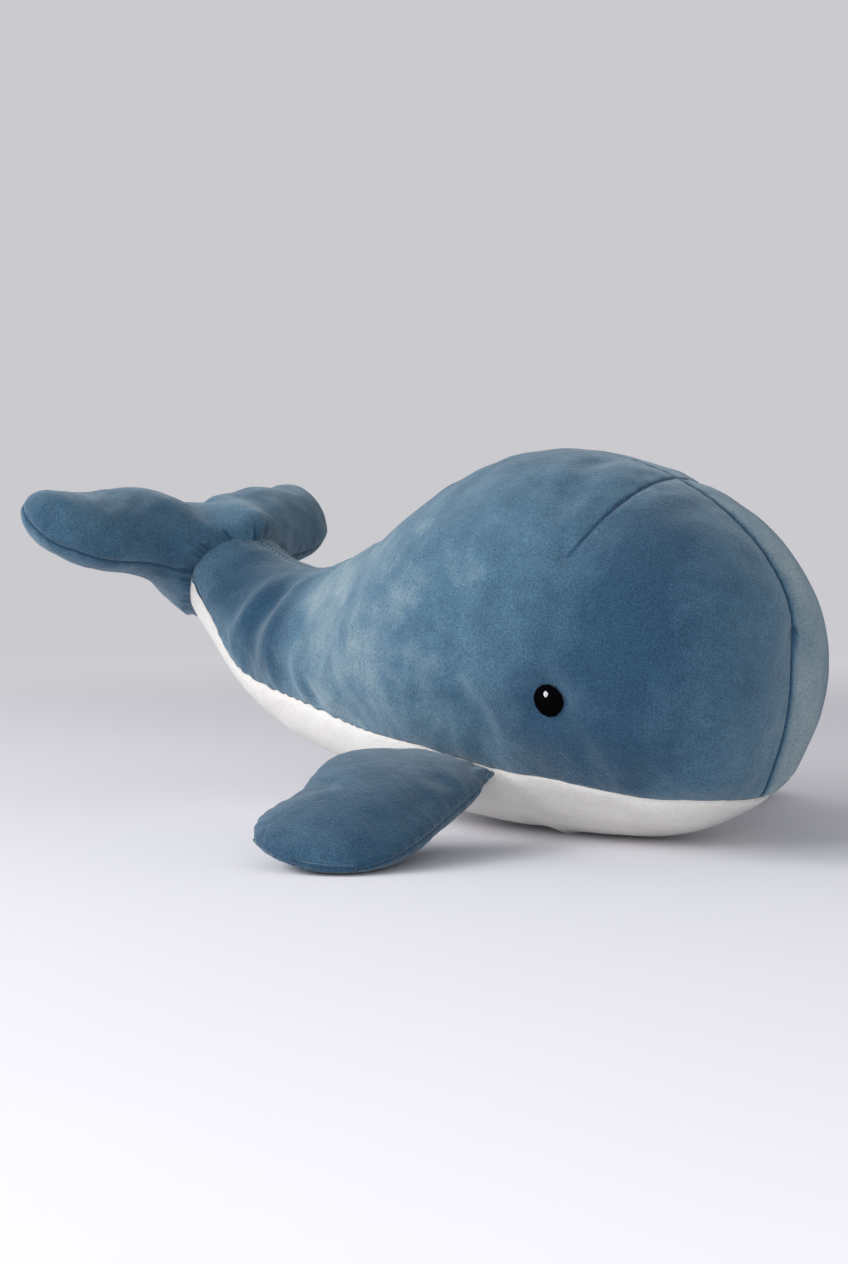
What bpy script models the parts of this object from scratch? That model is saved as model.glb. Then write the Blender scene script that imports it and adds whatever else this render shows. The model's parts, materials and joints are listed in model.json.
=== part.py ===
"""A stuffed toy whale, cut and sewn: two side panels and a belly panel round one filling,
two flippers sewn into the belly seam and a fluke sewn to the end of the tail stem.

Units are metres. +X points to the nose, +Y to the whale's left and +Z up. The origin is the
point where the belly meets the floor, under the largest section of the head.
"""
import math

import bmesh
import bpy
import numpy as np
from mathutils import Matrix, Vector

# Head and body, from the nose to the largest section
HEAD_HEIGHT = 0.1805
HEAD_WIDTH = 0.161
NOSE_REACH = 0.1155
NOSE_HEIGHT = 0.100
CROWN_ROUNDNESS = 1.75
CHIN_ROUNDNESS = 3.1
CHEEK_ROUNDNESS = 2.6

# Tail stem, from the largest section back to the seam that joins the fluke
STEM_REACH = 0.2205
STEM_RISE = 0.1145
STEM_HEIGHT = 0.054
STEM_WIDTH = 0.060
# Reach, height of the centre line, section height and section width, as shares of STEM_REACH,
# HEAD_HEIGHT, HEAD_HEIGHT and HEAD_WIDTH
STEM_SHARES = (
    (0.200, 0.460, 0.921, 1.000),
    (0.555, 0.421, 0.609, 0.699),
    (0.776, 0.459, 0.458, 0.545),
    (0.904, 0.541, 0.359, 0.431),
)

# Seams of the body. A place runs from -1 at the nose over 0 at the largest section to 1 at the
# fluke, and a rise is a share of half the section's height, from its centre up.
BELLY_SEAM_SHARES = (
    (-0.80, -0.936), (-0.735, -0.871), (-0.615, -0.795), (-0.51, -0.740), (-0.35, -0.685), (-0.17, -0.650),
    (0.00, -0.632), (0.21, -0.505), (0.45, -0.440), (0.74, -0.440), (0.83, -0.500), (0.90, -0.360),
    (1.00, -0.110),
)
DART_SHARES = ((-0.469, 1.000), (-0.437, 0.823), (-0.356, 0.526))
DART_SLIT = 0.0006

# Crescent folds across each side where the tail bends up: a place, and how far the cloth stands
# out there, as a share of the fold height. They fade out at two turns from the middle of the back.
FOLD_HEIGHT = 0.0024
FOLD_SHARES = ((0.650, 0.00), (0.684, 0.75), (0.711, -0.80), (0.738, 0.00), (0.768, -1.00), (0.805, 0.90))
FOLD_TURNS = (14.0, 122.0)

# Fabric, the gap that stands for a closed seam, and the flat that the toy rests on
PLUSH_THICKNESS = 0.0022
SEAM_GAP = 0.0003
FLOOR_CUT = 0.0005
FLOOR_CLEARANCE = 0.0003

# Eyes: embroidered discs, each with a small white oval
EYE_SHARES = (-0.326, -0.2135)
EYE_DIAMETER = 0.0146
EYE_CROWN = 0.0016
EYE_DEPTH = 0.0010
HIGHLIGHT_WIDTH = 0.0028
HIGHLIGHT_HEIGHT = 0.0038
HIGHLIGHT_RISE = 0.0030
HIGHLIGHT_CROWN = 0.0004
HIGHLIGHT_DEPTH = 0.0006

# Flippers, sewn into the belly seam between two places of the body
FLIPPER_ROOT_SHARES = (0.012, 0.213)
FLIPPER_LENGTH = 0.1195
FLIPPER_CHORD = 0.070
FLIPPER_THICKNESS = 0.028
FLIPPER_ROOT_THICKNESS = 0.0044
FLIPPER_STEEPEST = 60.0
# Distance from the root, middle of the chord, chord and thickness, as shares of the flipper's
# length, length, chord and thickness; the root itself takes its chord from the seam
FLIPPER_SHARES = (
    (0.140, -0.033, 0.830, 0.640),
    (0.343, -0.064, 0.955, 1.000),
    (0.700, -0.079, 0.970, 0.870),
    (0.905, -0.090, 0.765, 0.460),
    (1.000, -0.067, 0.000, 0.000),
)

# Fluke, one stuffed piece from tip to tip, behind the hinge line in the stem
FLUKE_HALF_SPAN = 0.108
FLUKE_CHORD = 0.092
FLUKE_THICKNESS = 0.0514
FLUKE_SWING = 25.0
# Distance from the middle, leading edge, trailing edge, thickness and how far its fullness lies
# forward, as shares of the half span, chord, chord, thickness and the section itself
FLUKE_SHARES = (
    (0.00, -0.457, 0.565, 1.000, 0.50),
    (0.15, -0.240, 0.625, 0.975, 0.32),
    (0.30, -0.005, 0.675, 0.880, 0.16),
    (0.46, 0.110, 0.690, 0.790, 0.08),
    (0.69, 0.160, 0.700, 0.660, 0.03),
    (0.87, 0.255, 0.745, 0.520, 0.00),
    (1.00, 0.560, 0.560, 0.000, 0.00),
)
# Least half thickness of the stuffing where a piece is pinched to a seam
STUFFING_PINCH = 0.0006

# Facets, and the angle from which two of them meet in a sharp edge
SHARP_ANGLE = 50.0
BODY_SIDES = 24
FILLING_SIDES = 12
NOSE_RINGS = 7
STEM_RINGS = 5
FLIPPER_SIDES = 16
FLIPPER_RINGS = 8
FLUKE_SIDES = 16
FLUKE_RINGS = 15
BARREL_FACETS = 20
ROOT_FACETS = 3
EYE_SIDES = 20
EYE_RINGS = 4

# One overrun serves every cutter, and one small step serves every slope read off a curve
OVERRUN = 0.020
NUDGE_SHARE = 0.001

RIGHT = -1
LEFT = 1
SIDE_NAMES = {RIGHT: "right", LEFT: "left"}

FORWARD = Vector((1, 0, 0))
LEFTWARD = Vector((0, 1, 0))
UPWARD = Vector((0, 0, 1))


# Curves and surfaces

def smooth(knots, rows, place, first_slope=None):
    """A cubic curve through rows at knots, read at a place; its first slope may be given."""
    knots = np.array(knots, dtype=float)
    rows = np.array(rows, dtype=float)
    step = np.diff(knots)
    rise = np.diff(rows, axis=0) / step[:, None]
    system = np.eye(len(knots))
    pull = np.zeros_like(rows)
    for i in range(1, len(knots) - 1):
        system[i, i - 1:i + 2] = step[i - 1], 2 * (step[i - 1] + step[i]), step[i]
        pull[i] = 6 * (rise[i] - rise[i - 1])
    if first_slope is not None:
        system[0, :2] = 2 * step[0], step[0]
        pull[0] = 6 * (rise[0] - np.array(first_slope))
    bend = np.linalg.solve(system, pull)
    i = int(np.clip(np.searchsorted(knots, place, side="right") - 1, 0, len(step) - 1))
    far = place - knots[i]
    near = step[i] - far
    curved = (bend[i] * near ** 3 + bend[i + 1] * far ** 3) / (6 * step[i])
    start = (rows[i] / step[i] - bend[i] * step[i] / 6) * near
    end = (rows[i + 1] / step[i] - bend[i + 1] * step[i] / 6) * far
    return curved + start + end


def rounded(share, power):
    """Height of a rounded quarter outline of size 1 at a share of its reach."""
    return (1 - min(abs(share), 1) ** power) ** (1 / power)


def fold_lift(place, turn):
    """How far a fold stands out of the body at a place and a turn from the middle of the back."""
    low, high = [math.radians(angle) for angle in FOLD_TURNS]
    share = (min(turn, math.tau - turn) - low) / (high - low)
    places, heights = zip(*FOLD_SHARES)
    height = FOLD_HEIGHT * float(np.interp(place, places, heights, left=0, right=0))
    return height * math.sin(math.pi * min(max(share, 0), 1))


class Body:
    """Head, body and tail stem: elliptical sections along a centre line that bends up to the fluke."""

    def __init__(self, inset=0.0):
        self.inset = inset
        rows = [(0, HEAD_HEIGHT / 2 - FLOOR_CUT, HEAD_HEIGHT / 2, HEAD_WIDTH / 2)]
        for reach, rise, height, width in STEM_SHARES:
            rows.append((-reach * STEM_REACH, rise * HEAD_HEIGHT, height * HEAD_HEIGHT / 2,
                         width * HEAD_WIDTH / 2))
        rows.append((-STEM_REACH, STEM_RISE, STEM_HEIGHT / 2, STEM_WIDTH / 2))
        self.rows = rows
        self.knots = [0]
        for near, far in zip(rows, rows[1:]):
            self.knots.append(self.knots[-1] + math.hypot(far[0] - near[0], far[1] - near[1]))
        self.length = self.knots[-1]

    def stem_row(self, place):
        return smooth(self.knots, self.rows, place * self.length, (-1, 0, 0, 0))

    def direction(self, place):
        """Backward direction of the centre line."""
        if place <= 0:
            return -FORWARD
        far = min(place, 1)
        near = self.stem_row(far - NUDGE_SHARE)
        far = self.stem_row(far)
        return Vector((far[0] - near[0], 0, far[1] - near[1])).normalized()

    def section(self, place):
        """Centre, upward direction, half height and half width of the section at a place."""
        if place <= 0:
            top = HEAD_HEIGHT - FLOOR_CUT - self.inset
            bottom = self.inset - FLOOR_CUT
            high = NOSE_HEIGHT + (top - NOSE_HEIGHT) * rounded(place, CROWN_ROUNDNESS)
            low = NOSE_HEIGHT - (NOSE_HEIGHT - bottom) * rounded(place, CHIN_ROUNDNESS)
            centre = Vector((-place * (NOSE_REACH - self.inset), 0, (high + low) / 2))
            width = (HEAD_WIDTH / 2 - self.inset) * rounded(place, CHEEK_ROUNDNESS)
            return centre, UPWARD, (high - low) / 2, width
        x, z, height, width = self.stem_row(min(place, 1))
        along = self.direction(place)
        centre = Vector((x, 0, z)) + along * max(place - 1, 0) * self.length
        return centre, Vector((along.z, 0, -along.x)), height - self.inset, width - self.inset

    def ring(self, place, sides):
        centre, up, height, width = self.section(place)
        points = []
        for i in range(sides):
            turn = math.tau * i / sides
            lift = fold_lift(place, turn)
            rise = up * (height + lift) * math.cos(turn)
            points.append(centre + rise + LEFTWARD * (width + lift) * math.sin(turn))
        return points

    def point(self, place, rise_share, side):
        """Surface point on one side, at a share of half the section's height above its centre."""
        centre, up, height, width = self.section(place)
        reach = math.sqrt(max(1 - rise_share ** 2, 0))
        return centre + up * height * rise_share + LEFTWARD * side * width * reach

    def normal(self, place, rise_share, side):
        """Outward direction of the surface there."""
        here = self.point(place, rise_share, side)
        along = self.point(place + NUDGE_SHARE, rise_share, side) - here
        around = self.point(place, rise_share + NUDGE_SHARE, side) - here
        normal = around.cross(along).normalized()
        return normal if normal.dot(here - self.section(place)[0]) > 0 else -normal


BODY = Body()


def belly_seam_rise(place):
    knots = [row[0] for row in BELLY_SEAM_SHARES]
    rises = [row[1:] for row in BELLY_SEAM_SHARES]
    return max(smooth(knots, rises, min(max(place, knots[0]), knots[-1]))[0], -1)


class Paddle:
    """A flipper or a fluke: rounded sections along a span, in a frame of its own.

    Its stations hold the share of the span, leading edge, trailing edge, half thickness and the
    shift of the fullness to the front. They are read along the turn of a quarter circle, so that
    the last one closes in a round tip.
    """

    def __init__(self, origin, span, chord, length, stations, mirrored):
        self.origin = origin
        self.span = span
        self.chord = chord
        self.normal = chord.cross(span)
        if self.normal.z < 0:
            self.normal = -self.normal
        self.length = length
        self.turns = [math.asin(row[0]) for row in stations]
        self.rows = [row[1:] for row in stations]
        self.mirrored = mirrored
        self.first_slope = [0] * len(self.rows[0]) if mirrored else None

    def place(self, reach, along, rise):
        return self.origin + self.span * reach + self.chord * along + self.normal * rise

    def section(self, turn, inset=0.0):
        """Reach, leading edge, trailing edge, half thickness and fullness shift at a turn."""
        lead, trail, half, shift = smooth(self.turns, self.rows, abs(turn), self.first_slope)
        reach = (self.length - inset) * math.sin(turn)
        if not self.mirrored:
            reach += inset * math.cos(turn)
        back = math.copysign(inset, trail - lead)
        return reach, lead + back, trail - back, half - inset, shift

    def ring(self, reach, lead, trail, half, shift, sides):
        points = []
        for i in range(sides):
            turn = math.tau * i / sides
            along = (lead + trail) / 2 + (trail - lead) / 2 * math.cos(turn)
            rise = half * math.sin(turn) * (1 - shift * math.cos(turn))
            points.append(self.place(reach, along, rise))
        return points

    def tip(self, turn, inset=0.0):
        reach, lead, trail, half, shift = self.section(turn, inset)
        return self.place(reach, (lead + trail) / 2, 0)

    def stuffed_turns(self, rings):
        """Evenly spread turns where the piece is thick enough to hold stuffing."""
        tries = [math.pi / 2 * i / rings ** 2 for i in range(rings ** 2)]
        inset = PLUSH_THICKNESS + SEAM_GAP
        good = [turn for turn in tries if self.section(turn, inset)[3] > STUFFING_PINCH]
        low = -good[-1] if self.mirrored else good[0]
        return [low + (good[-1] - low) * i / (rings - 1) for i in range(rings)]


# Scene, meshes and cuts

def clear_scene():
    for item in list(bpy.data.objects):
        bpy.data.objects.remove(item, do_unlink=True)


def new_collection(name):
    collection = bpy.data.collections.new(name)
    bpy.context.scene.collection.children.link(collection)
    return collection


def make_material(name, colour, roughness):
    finish = bpy.data.materials.new(name)
    finish.use_nodes = True
    shader = finish.node_tree.nodes["Principled BSDF"]
    shader.inputs["Base Color"].default_value = (*colour, 1)
    shader.inputs["Roughness"].default_value = roughness
    shader.inputs["Metallic"].default_value = 0
    finish.diffuse_color = (*colour, 1)
    return finish


def add_part(name, mesh, collection, finish):
    item = bpy.data.objects.new(name, mesh)
    mesh.materials.append(finish)
    collection.objects.link(item)
    return item


def add_cutter(name, mesh, collection):
    item = bpy.data.objects.new(name, mesh)
    item.hide_render = True
    item.display_type = "WIRE"
    collection.objects.link(item)
    return item


def cut(item, tool, operation="DIFFERENCE"):
    step = item.modifiers.new(tool.name, "BOOLEAN")
    step.operation = operation
    step.solver = "EXACT"
    step.object = tool


def loft(name, rings, start=None, end=None):
    """A closed mesh through rings of equally many points; each end is a pole, or a flat cap.

    Its facets are split the same way in every loft, so that nested forms keep their distance.
    """
    mesh = bpy.data.meshes.new(name)
    work = bmesh.new()
    loops = [[work.verts.new(point) for point in ring] for ring in rings]
    for near, far in zip(loops, loops[1:]):
        for i in range(len(near)):
            j = (i + 1) % len(near)
            work.faces.new((near[i], near[j], far[j]))
            work.faces.new((near[i], far[j], far[i]))
    for loop, pole in ((loops[0], start), (loops[-1], end)):
        if pole is None:
            work.faces.new(loop)
            continue
        tip = work.verts.new(pole)
        for i in range(len(loop)):
            work.faces.new((loop[i], loop[(i + 1) % len(loop)], tip))
    bmesh.ops.recalc_face_normals(work, faces=work.faces)
    for face in work.faces:
        face.smooth = True
    work.to_mesh(mesh)
    work.free()
    mesh.set_sharp_from_angle(angle=math.radians(SHARP_ANGLE))
    return mesh


def prism(name, outline, origin, along, up, low, high):
    """An outline in the plane of two directions, drawn out square to it from low to high."""
    across = along.cross(up)
    rings = []
    for reach in (low, high):
        rings.append([origin + along * a + up * b + across * reach for a, b in outline])
    return loft(name, rings)


def rectangle(low, high, bottom, top):
    return [(low, bottom), (high, bottom), (high, top), (low, top)]


def hang(item, hinge):
    """Puts an object's origin on the hinge that carries it, and leaves its shape in place."""
    item.data.transform(Matrix.Translation(-hinge.location))
    item.parent = hinge


def add_hinge(name, location, collection):
    hinge = bpy.data.objects.new(name, None)
    hinge.location = location
    collection.objects.link(hinge)
    return hinge


# Body

def head_places():
    return [-math.cos(math.pi / 2 * i / NOSE_RINGS) for i in range(1, NOSE_RINGS + 1)]


def stem_places():
    """Even steps ahead of the folds, the folds' own places, and the join seam."""
    first = FOLD_SHARES[0][0]
    even = [first * i / STEM_RINGS for i in range(1, STEM_RINGS)]
    return even + [row[0] for row in FOLD_SHARES] + [(FOLD_SHARES[-1][0] + 1) / 2, 1]


def body_mesh(name, inset, past_join, sides):
    """The body's form, inset from the outside and drawn out past the join seam."""
    body = Body(inset)
    places = head_places() + stem_places() + [1 + past_join / body.length]
    rings = [body.ring(place, sides) for place in places]
    return loft(name, rings, start=(NOSE_REACH - inset, 0, NOSE_HEIGHT))


def belly_seam_outline():
    """Side view of the belly seam, from ahead of the nose to behind the fluke."""
    places = [BELLY_SEAM_SHARES[0][0]]
    places += [place for place in head_places() + stem_places() if place > places[0]]
    outline = []
    for place in places:
        centre, up, height, width = BODY.section(place)
        point = centre + up * height * belly_seam_rise(place)
        outline.append((point.x, point.z))
    behind = BODY.direction(1) * (STEM_HEIGHT + OVERRUN)
    outline.append((outline[-1][0] + behind.x, outline[-1][1] + behind.z))
    outline.insert(0, (NOSE_REACH + OVERRUN, outline[0][1]))
    return outline


def seam_region(name, above, low, high):
    """All that lies above or below the belly seam, between two planes across the body."""
    lift = SEAM_GAP / 2 if above else -SEAM_GAP / 2
    level = HEAD_HEIGHT + STEM_RISE + STEM_HEIGHT + OVERRUN if above else -OVERRUN
    outline = [(x, z + lift) for x, z in belly_seam_outline()]
    outline += [(outline[-1][0], level), (outline[0][0], level)]
    return prism(name, outline, Vector(), FORWARD, UPWARD, -high, -low)


def dart_plate(name, side):
    """A thin plate through the dart, from its mouth in the centre seam to its tip."""
    mouth, middle, tip = [BODY.point(place, rise, side) for place, rise in DART_SHARES]
    along = (tip - mouth).normalized()
    bulge = middle - mouth
    up = (bulge - along * bulge.dot(along)).normalized()
    length = (tip - mouth).length
    outline = rectangle(-OVERRUN, length, -OVERRUN, length)
    return prism(name, outline, mouth, along, up, -DART_SLIT / 2, DART_SLIT / 2)


# Joint of stem and fluke: the stem ends in a barrel round the hinge line, whose rim is the join seam

def join_frame():
    """Centre of the join seam, the backward direction there and the upward one."""
    centre, up, height, width = BODY.section(1)
    return centre, BODY.direction(1), up


def barrel_radius():
    return STEM_HEIGHT / 2 / math.cos(math.radians(FLUKE_SWING))


def fluke_hinge_point():
    centre, along, up = join_frame()
    return centre - along * barrel_radius() * math.sin(math.radians(FLUKE_SWING))


def barrel_arc(radius, from_plane):
    """Half circle round the hinge line, from below to above, cut off at a plane ahead of it."""
    steep = math.acos(from_plane / radius)
    arc = []
    for i in range(BARREL_FACETS + 1):
        turn = steep * (2 * i / BARREL_FACETS - 1)
        arc.append((radius * math.cos(turn), radius * math.sin(turn)))
    return arc


def stem_end_cutter(name):
    """All that lies behind the hinge line and outside the barrel."""
    centre, along, up = join_frame()
    reach = STEM_HEIGHT + OVERRUN
    outline = [(0, -reach), (reach, -reach), (reach, reach), (0, reach)]
    outline += barrel_arc(barrel_radius(), 0)[::-1]
    return prism(name, outline, fluke_hinge_point(), along, up, -HEAD_WIDTH, HEAD_WIDTH)


def fluke_root_cutter(name):
    """The room that the stem and its barrel take up in the fluke."""
    centre, along, up = join_frame()
    hinge = fluke_hinge_point()
    lip = (centre - hinge).length
    reach = STEM_HEIGHT + OVERRUN
    outline = [(-reach, -reach), (lip, -reach)]
    outline += barrel_arc(barrel_radius() + SEAM_GAP, lip)
    outline += [(lip, reach), (-reach, reach)]
    half = fluke_root_half_width()
    return prism(name, outline, hinge, along, up, -half, half)


def fluke_root_half_width():
    """Half width of the stem at the hinge line, with room to swing."""
    back = barrel_radius() * math.sin(math.radians(FLUKE_SWING))
    return BODY.section(1 - back / BODY.length)[3] + 2 * SEAM_GAP


def build_body(parts, cutters, finishes):
    past_join = barrel_radius() + OVERRUN
    hollow = body_mesh("body_hollow", PLUSH_THICKNESS, past_join + OVERRUN, BODY_SIDES)
    hollow = add_cutter("body_hollow", hollow, cutters)
    stem_end = add_cutter("stem_end", stem_end_cutter("stem_end"), cutters)
    regions = {
        "side_panel_right": (True, -HEAD_WIDTH, -SEAM_GAP / 2, finishes["blue"]),
        "side_panel_left": (True, SEAM_GAP / 2, HEAD_WIDTH, finishes["blue"]),
        "belly_panel": (False, -HEAD_WIDTH, HEAD_WIDTH, finishes["white"]),
    }
    panels = {}
    for name, (above, low, high, finish) in regions.items():
        panel = add_part(name, body_mesh(name, 0, past_join, BODY_SIDES), parts, finish)
        region = add_cutter(name + "_region", seam_region(name + "_region", above, low, high), cutters)
        cut(panel, hollow)
        cut(panel, stem_end)
        cut(panel, region, "INTERSECT")
        panels[name] = panel
    for side, word in SIDE_NAMES.items():
        dart = add_cutter("dart_" + word, dart_plate("dart_" + word, side), cutters)
        cut(panels["side_panel_" + word], dart)
    under = rectangle(-STEM_REACH, NOSE_REACH, -OVERRUN, 0)
    floor = prism("floor", under, Vector(), FORWARD, UPWARD, -HEAD_WIDTH, HEAD_WIDTH)
    cut(panels["belly_panel"], add_cutter("floor", floor, cutters))
    filling = body_mesh("body_filling", PLUSH_THICKNESS + SEAM_GAP, past_join, FILLING_SIDES)
    cut(add_part("body_filling", filling, parts, finishes["filling"]), stem_end)
    return panels


# Eyes

def button_mesh(name, radius, crown, depth):
    """Profile of a domed disc, from the top of its axis round to its foot."""
    points = [(0, crown)]
    for i in range(1, EYE_RINGS + 1):
        turn = math.pi / 2 * i / EYE_RINGS
        points.append((radius * math.sin(turn), crown * math.cos(turn)))
    points += [(radius, -depth), (0, -depth)]
    mesh = bpy.data.meshes.new(name)
    work = bmesh.new()
    corners = [work.verts.new((x, 0, z)) for x, z in points]
    for near, far in zip(corners, corners[1:]):
        work.edges.new((near, far))
    work.to_mesh(mesh)
    work.free()
    return mesh


def turn_button(item):
    screw = item.modifiers.new("turn", "SCREW")
    screw.steps = EYE_SIDES
    screw.render_steps = EYE_SIDES
    screw.use_merge_vertices = True
    screw.merge_threshold = SEAM_GAP / 10
    screw.use_smooth_shade = True


def pocket_mesh(name, radius, depth):
    """A cylinder that starts at a depth and stands proud by the overrun."""
    mesh = bpy.data.meshes.new(name)
    work = bmesh.new()
    bmesh.ops.create_cone(work, cap_ends=True, segments=EYE_SIDES, radius1=radius, radius2=radius,
                          depth=depth + OVERRUN)
    work.transform(Matrix.Translation((0, 0, (OVERRUN - depth) / 2)))
    work.to_mesh(mesh)
    work.free()
    return mesh


def eye_place(side):
    """Frame of an eye: Z stands out of the cheek and Y points up."""
    place, rise = EYE_SHARES
    outward = BODY.normal(place, rise, side)
    up = (UPWARD - outward * outward.z).normalized()
    turn = Matrix((up.cross(outward), up, outward)).transposed().to_4x4()
    return Matrix.Translation(BODY.point(place, rise, side)) @ turn


def build_eye(side, panel, parts, cutters, finishes):
    word = SIDE_NAMES[side]
    radius = EYE_DIAMETER / 2
    place = eye_place(side)
    eye = add_part("eye_" + word, button_mesh("eye_" + word, radius, EYE_CROWN, EYE_DEPTH), parts,
                   finishes["black"])
    turn_button(eye)
    eye.matrix_world = place
    pocket = add_cutter("eye_pocket_" + word, pocket_mesh("eye_pocket_" + word, radius + SEAM_GAP,
                        EYE_DEPTH + SEAM_GAP), cutters)
    pocket.matrix_world = place
    cut(panel, pocket)

    level = EYE_CROWN * math.sqrt(1 - (HIGHLIGHT_RISE / radius) ** 2)
    stretch = Matrix.Diagonal((1, HIGHLIGHT_HEIGHT / HIGHLIGHT_WIDTH, 1, 1))
    seat = place @ Matrix.Translation((0, HIGHLIGHT_RISE, level)) @ stretch
    small = HIGHLIGHT_WIDTH / 2
    name = "eye_highlight_" + word
    highlight = add_part(name, button_mesh(name, small, HIGHLIGHT_CROWN, HIGHLIGHT_DEPTH), parts,
                         finishes["pale"])
    turn_button(highlight)
    highlight.matrix_world = seat
    hole = add_cutter(name + "_pocket", pocket_mesh(name + "_pocket", small + SEAM_GAP,
                      HIGHLIGHT_DEPTH + SEAM_GAP), cutters)
    hole.matrix_world = seat
    cut(eye, hole)


# Flippers

def flipper_stations(root_chord):
    half_root = FLIPPER_ROOT_THICKNESS / 2
    stations = [(0, root_chord / 2, -root_chord / 2, half_root, 0)]
    for reach, middle, chord, thickness in FLIPPER_SHARES:
        middle = middle * FLIPPER_LENGTH
        half = chord * FLIPPER_CHORD / 2
        stations.append((reach, middle + half, middle - half, thickness * FLIPPER_THICKNESS / 2, 0))
    return stations


def flipper_at(side, droop):
    """A flipper whose root lies along the belly seam, with its span lowered by an angle."""
    front, rear = FLIPPER_ROOT_SHARES
    middle = (front + rear) / 2
    ends = [BODY.point(place, belly_seam_rise(place), side) for place in (front, rear)]
    touch = BODY.point(middle, belly_seam_rise(middle), side)
    outward = BODY.normal(middle, belly_seam_rise(middle), side)
    root = ends[0] - ends[1]
    root -= outward * root.dot(outward)
    chord = root.normalized()
    centre = (ends[0] + ends[1]) / 2
    touch += chord * (centre - touch).dot(chord)
    origin = touch + outward * (FLIPPER_ROOT_THICKNESS / 2 + SEAM_GAP)
    level = (UPWARD.cross(chord) * -side).normalized()
    if level.y * side < 0:
        level = -level
    below = chord.cross(level)
    if below.z > 0:
        below = -below
    span = level * math.cos(droop) + below * math.sin(droop)
    return Paddle(origin, span, chord, FLIPPER_LENGTH, flipper_stations(root.length), False)


def flipper_rings(flipper):
    """Sections from the rounded root edge out to the last one before the tip."""
    reach, lead, trail, half, shift = flipper.section(0)
    rings = []
    for i in range(1, ROOT_FACETS):
        turn = math.pi / 2 * i / ROOT_FACETS
        rings.append(flipper.ring(-half * math.cos(turn), lead, trail, half * math.sin(turn), 0, FLIPPER_SIDES))
    for i in range(FLIPPER_RINGS):
        turn = math.pi / 2 * i / FLIPPER_RINGS
        rings.append(flipper.ring(*flipper.section(turn), FLIPPER_SIDES))
    return rings


def resting_flipper(side):
    """The flipper lowered until its underside is just clear of the floor."""
    low = 0
    high = math.radians(FLIPPER_STEEPEST)
    for i in range(BODY_SIDES):
        middle = (low + high) / 2
        rings = flipper_rings(flipper_at(side, middle))
        lowest = min(point.z for ring in rings for point in ring)
        if lowest > FLOOR_CLEARANCE:
            low = middle
        else:
            high = middle
    return flipper_at(side, low)


def stuffing_mesh(name, paddle, inset, rings, sides):
    """The paddle's form, inset from the outside, as far as it is thick enough to hold stuffing."""
    turns = paddle.stuffed_turns(rings)
    return loft(name, [paddle.ring(*paddle.section(turn, inset), sides) for turn in turns])


def half_region(name, paddle, above):
    """All that lies on one side of the seam round a paddle's edge."""
    reach = paddle.length + FLUKE_CHORD + OVERRUN
    outline = rectangle(-reach, reach, -reach, reach)
    low, high = (SEAM_GAP / 2, reach) if above else (-reach, -SEAM_GAP / 2)
    if paddle.span.cross(paddle.chord).dot(paddle.normal) < 0:
        low, high = -high, -low
    return prism(name, outline, paddle.origin, paddle.span, paddle.chord, low, high)


def build_panels(name, paddle, mesh_maker, pocket, root, hinge, parts, cutters, finish):
    """The top and bottom panel of a paddle, each open to the stuffing."""
    for word, above in (("top", True), ("bottom", False)):
        panel_name = name + "_" + word + "_panel"
        panel = add_part(panel_name, mesh_maker(panel_name), parts, finish)
        region = half_region(panel_name + "_region", paddle, above)
        cut(panel, pocket)
        if root:
            cut(panel, root)
        cut(panel, add_cutter(panel_name + "_region", region, cutters), "INTERSECT")
        hang(panel, hinge)


def build_flipper(side, parts, cutters, finishes):
    name = "flipper_" + SIDE_NAMES[side]
    flipper = resting_flipper(side)
    hinge = add_hinge(name + "_hinge", flipper.origin, parts)

    def outside(mesh_name):
        return loft(mesh_name, flipper_rings(flipper), end=flipper.tip(math.pi / 2))

    pocket = add_cutter(name + "_pocket", stuffing_mesh(name + "_pocket", flipper, PLUSH_THICKNESS,
                        FLIPPER_RINGS, FLIPPER_SIDES), cutters)
    build_panels(name, flipper, outside, pocket, None, hinge, parts, cutters, finishes["blue"])
    filling = stuffing_mesh(name + "_filling", flipper, PLUSH_THICKNESS + SEAM_GAP, FLIPPER_RINGS,
                            FLIPPER_SIDES)
    hang(add_part(name + "_filling", filling, parts, finishes["filling"]), hinge)


# Fluke

def fluke_paddle():
    centre, along, up = join_frame()
    stations = []
    for reach, lead, trail, thickness, shift in FLUKE_SHARES:
        stations.append((reach, lead * FLUKE_CHORD, trail * FLUKE_CHORD, thickness * FLUKE_THICKNESS / 2, shift))
    return Paddle(centre, LEFTWARD, along, FLUKE_HALF_SPAN, stations, True)


def fluke_mesh(name, fluke):
    last = math.pi / 2
    rings = []
    for i in range(1, FLUKE_RINGS + 1):
        turn = last * (2 * i / (FLUKE_RINGS + 1) - 1)
        rings.append(fluke.ring(*fluke.section(turn), FLUKE_SIDES))
    return loft(name, rings, start=fluke.tip(-last), end=fluke.tip(last))


def build_fluke(parts, cutters, finishes):
    fluke = fluke_paddle()
    hinge = add_hinge("fluke_hinge", fluke_hinge_point(), parts)
    root = add_cutter("fluke_root", fluke_root_cutter("fluke_root"), cutters)

    def outside(mesh_name):
        return fluke_mesh(mesh_name, fluke)

    pocket = add_cutter("fluke_pocket", stuffing_mesh("fluke_pocket", fluke, PLUSH_THICKNESS, FLUKE_RINGS,
                        FLUKE_SIDES), cutters)
    build_panels("fluke", fluke, outside, pocket, root, hinge, parts, cutters, finishes["blue"])
    filling = add_part("fluke_filling", stuffing_mesh("fluke_filling", fluke, PLUSH_THICKNESS + SEAM_GAP,
                       FLUKE_RINGS, FLUKE_SIDES), parts, finishes["filling"])
    cut(filling, root)
    hang(filling, hinge)


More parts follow.
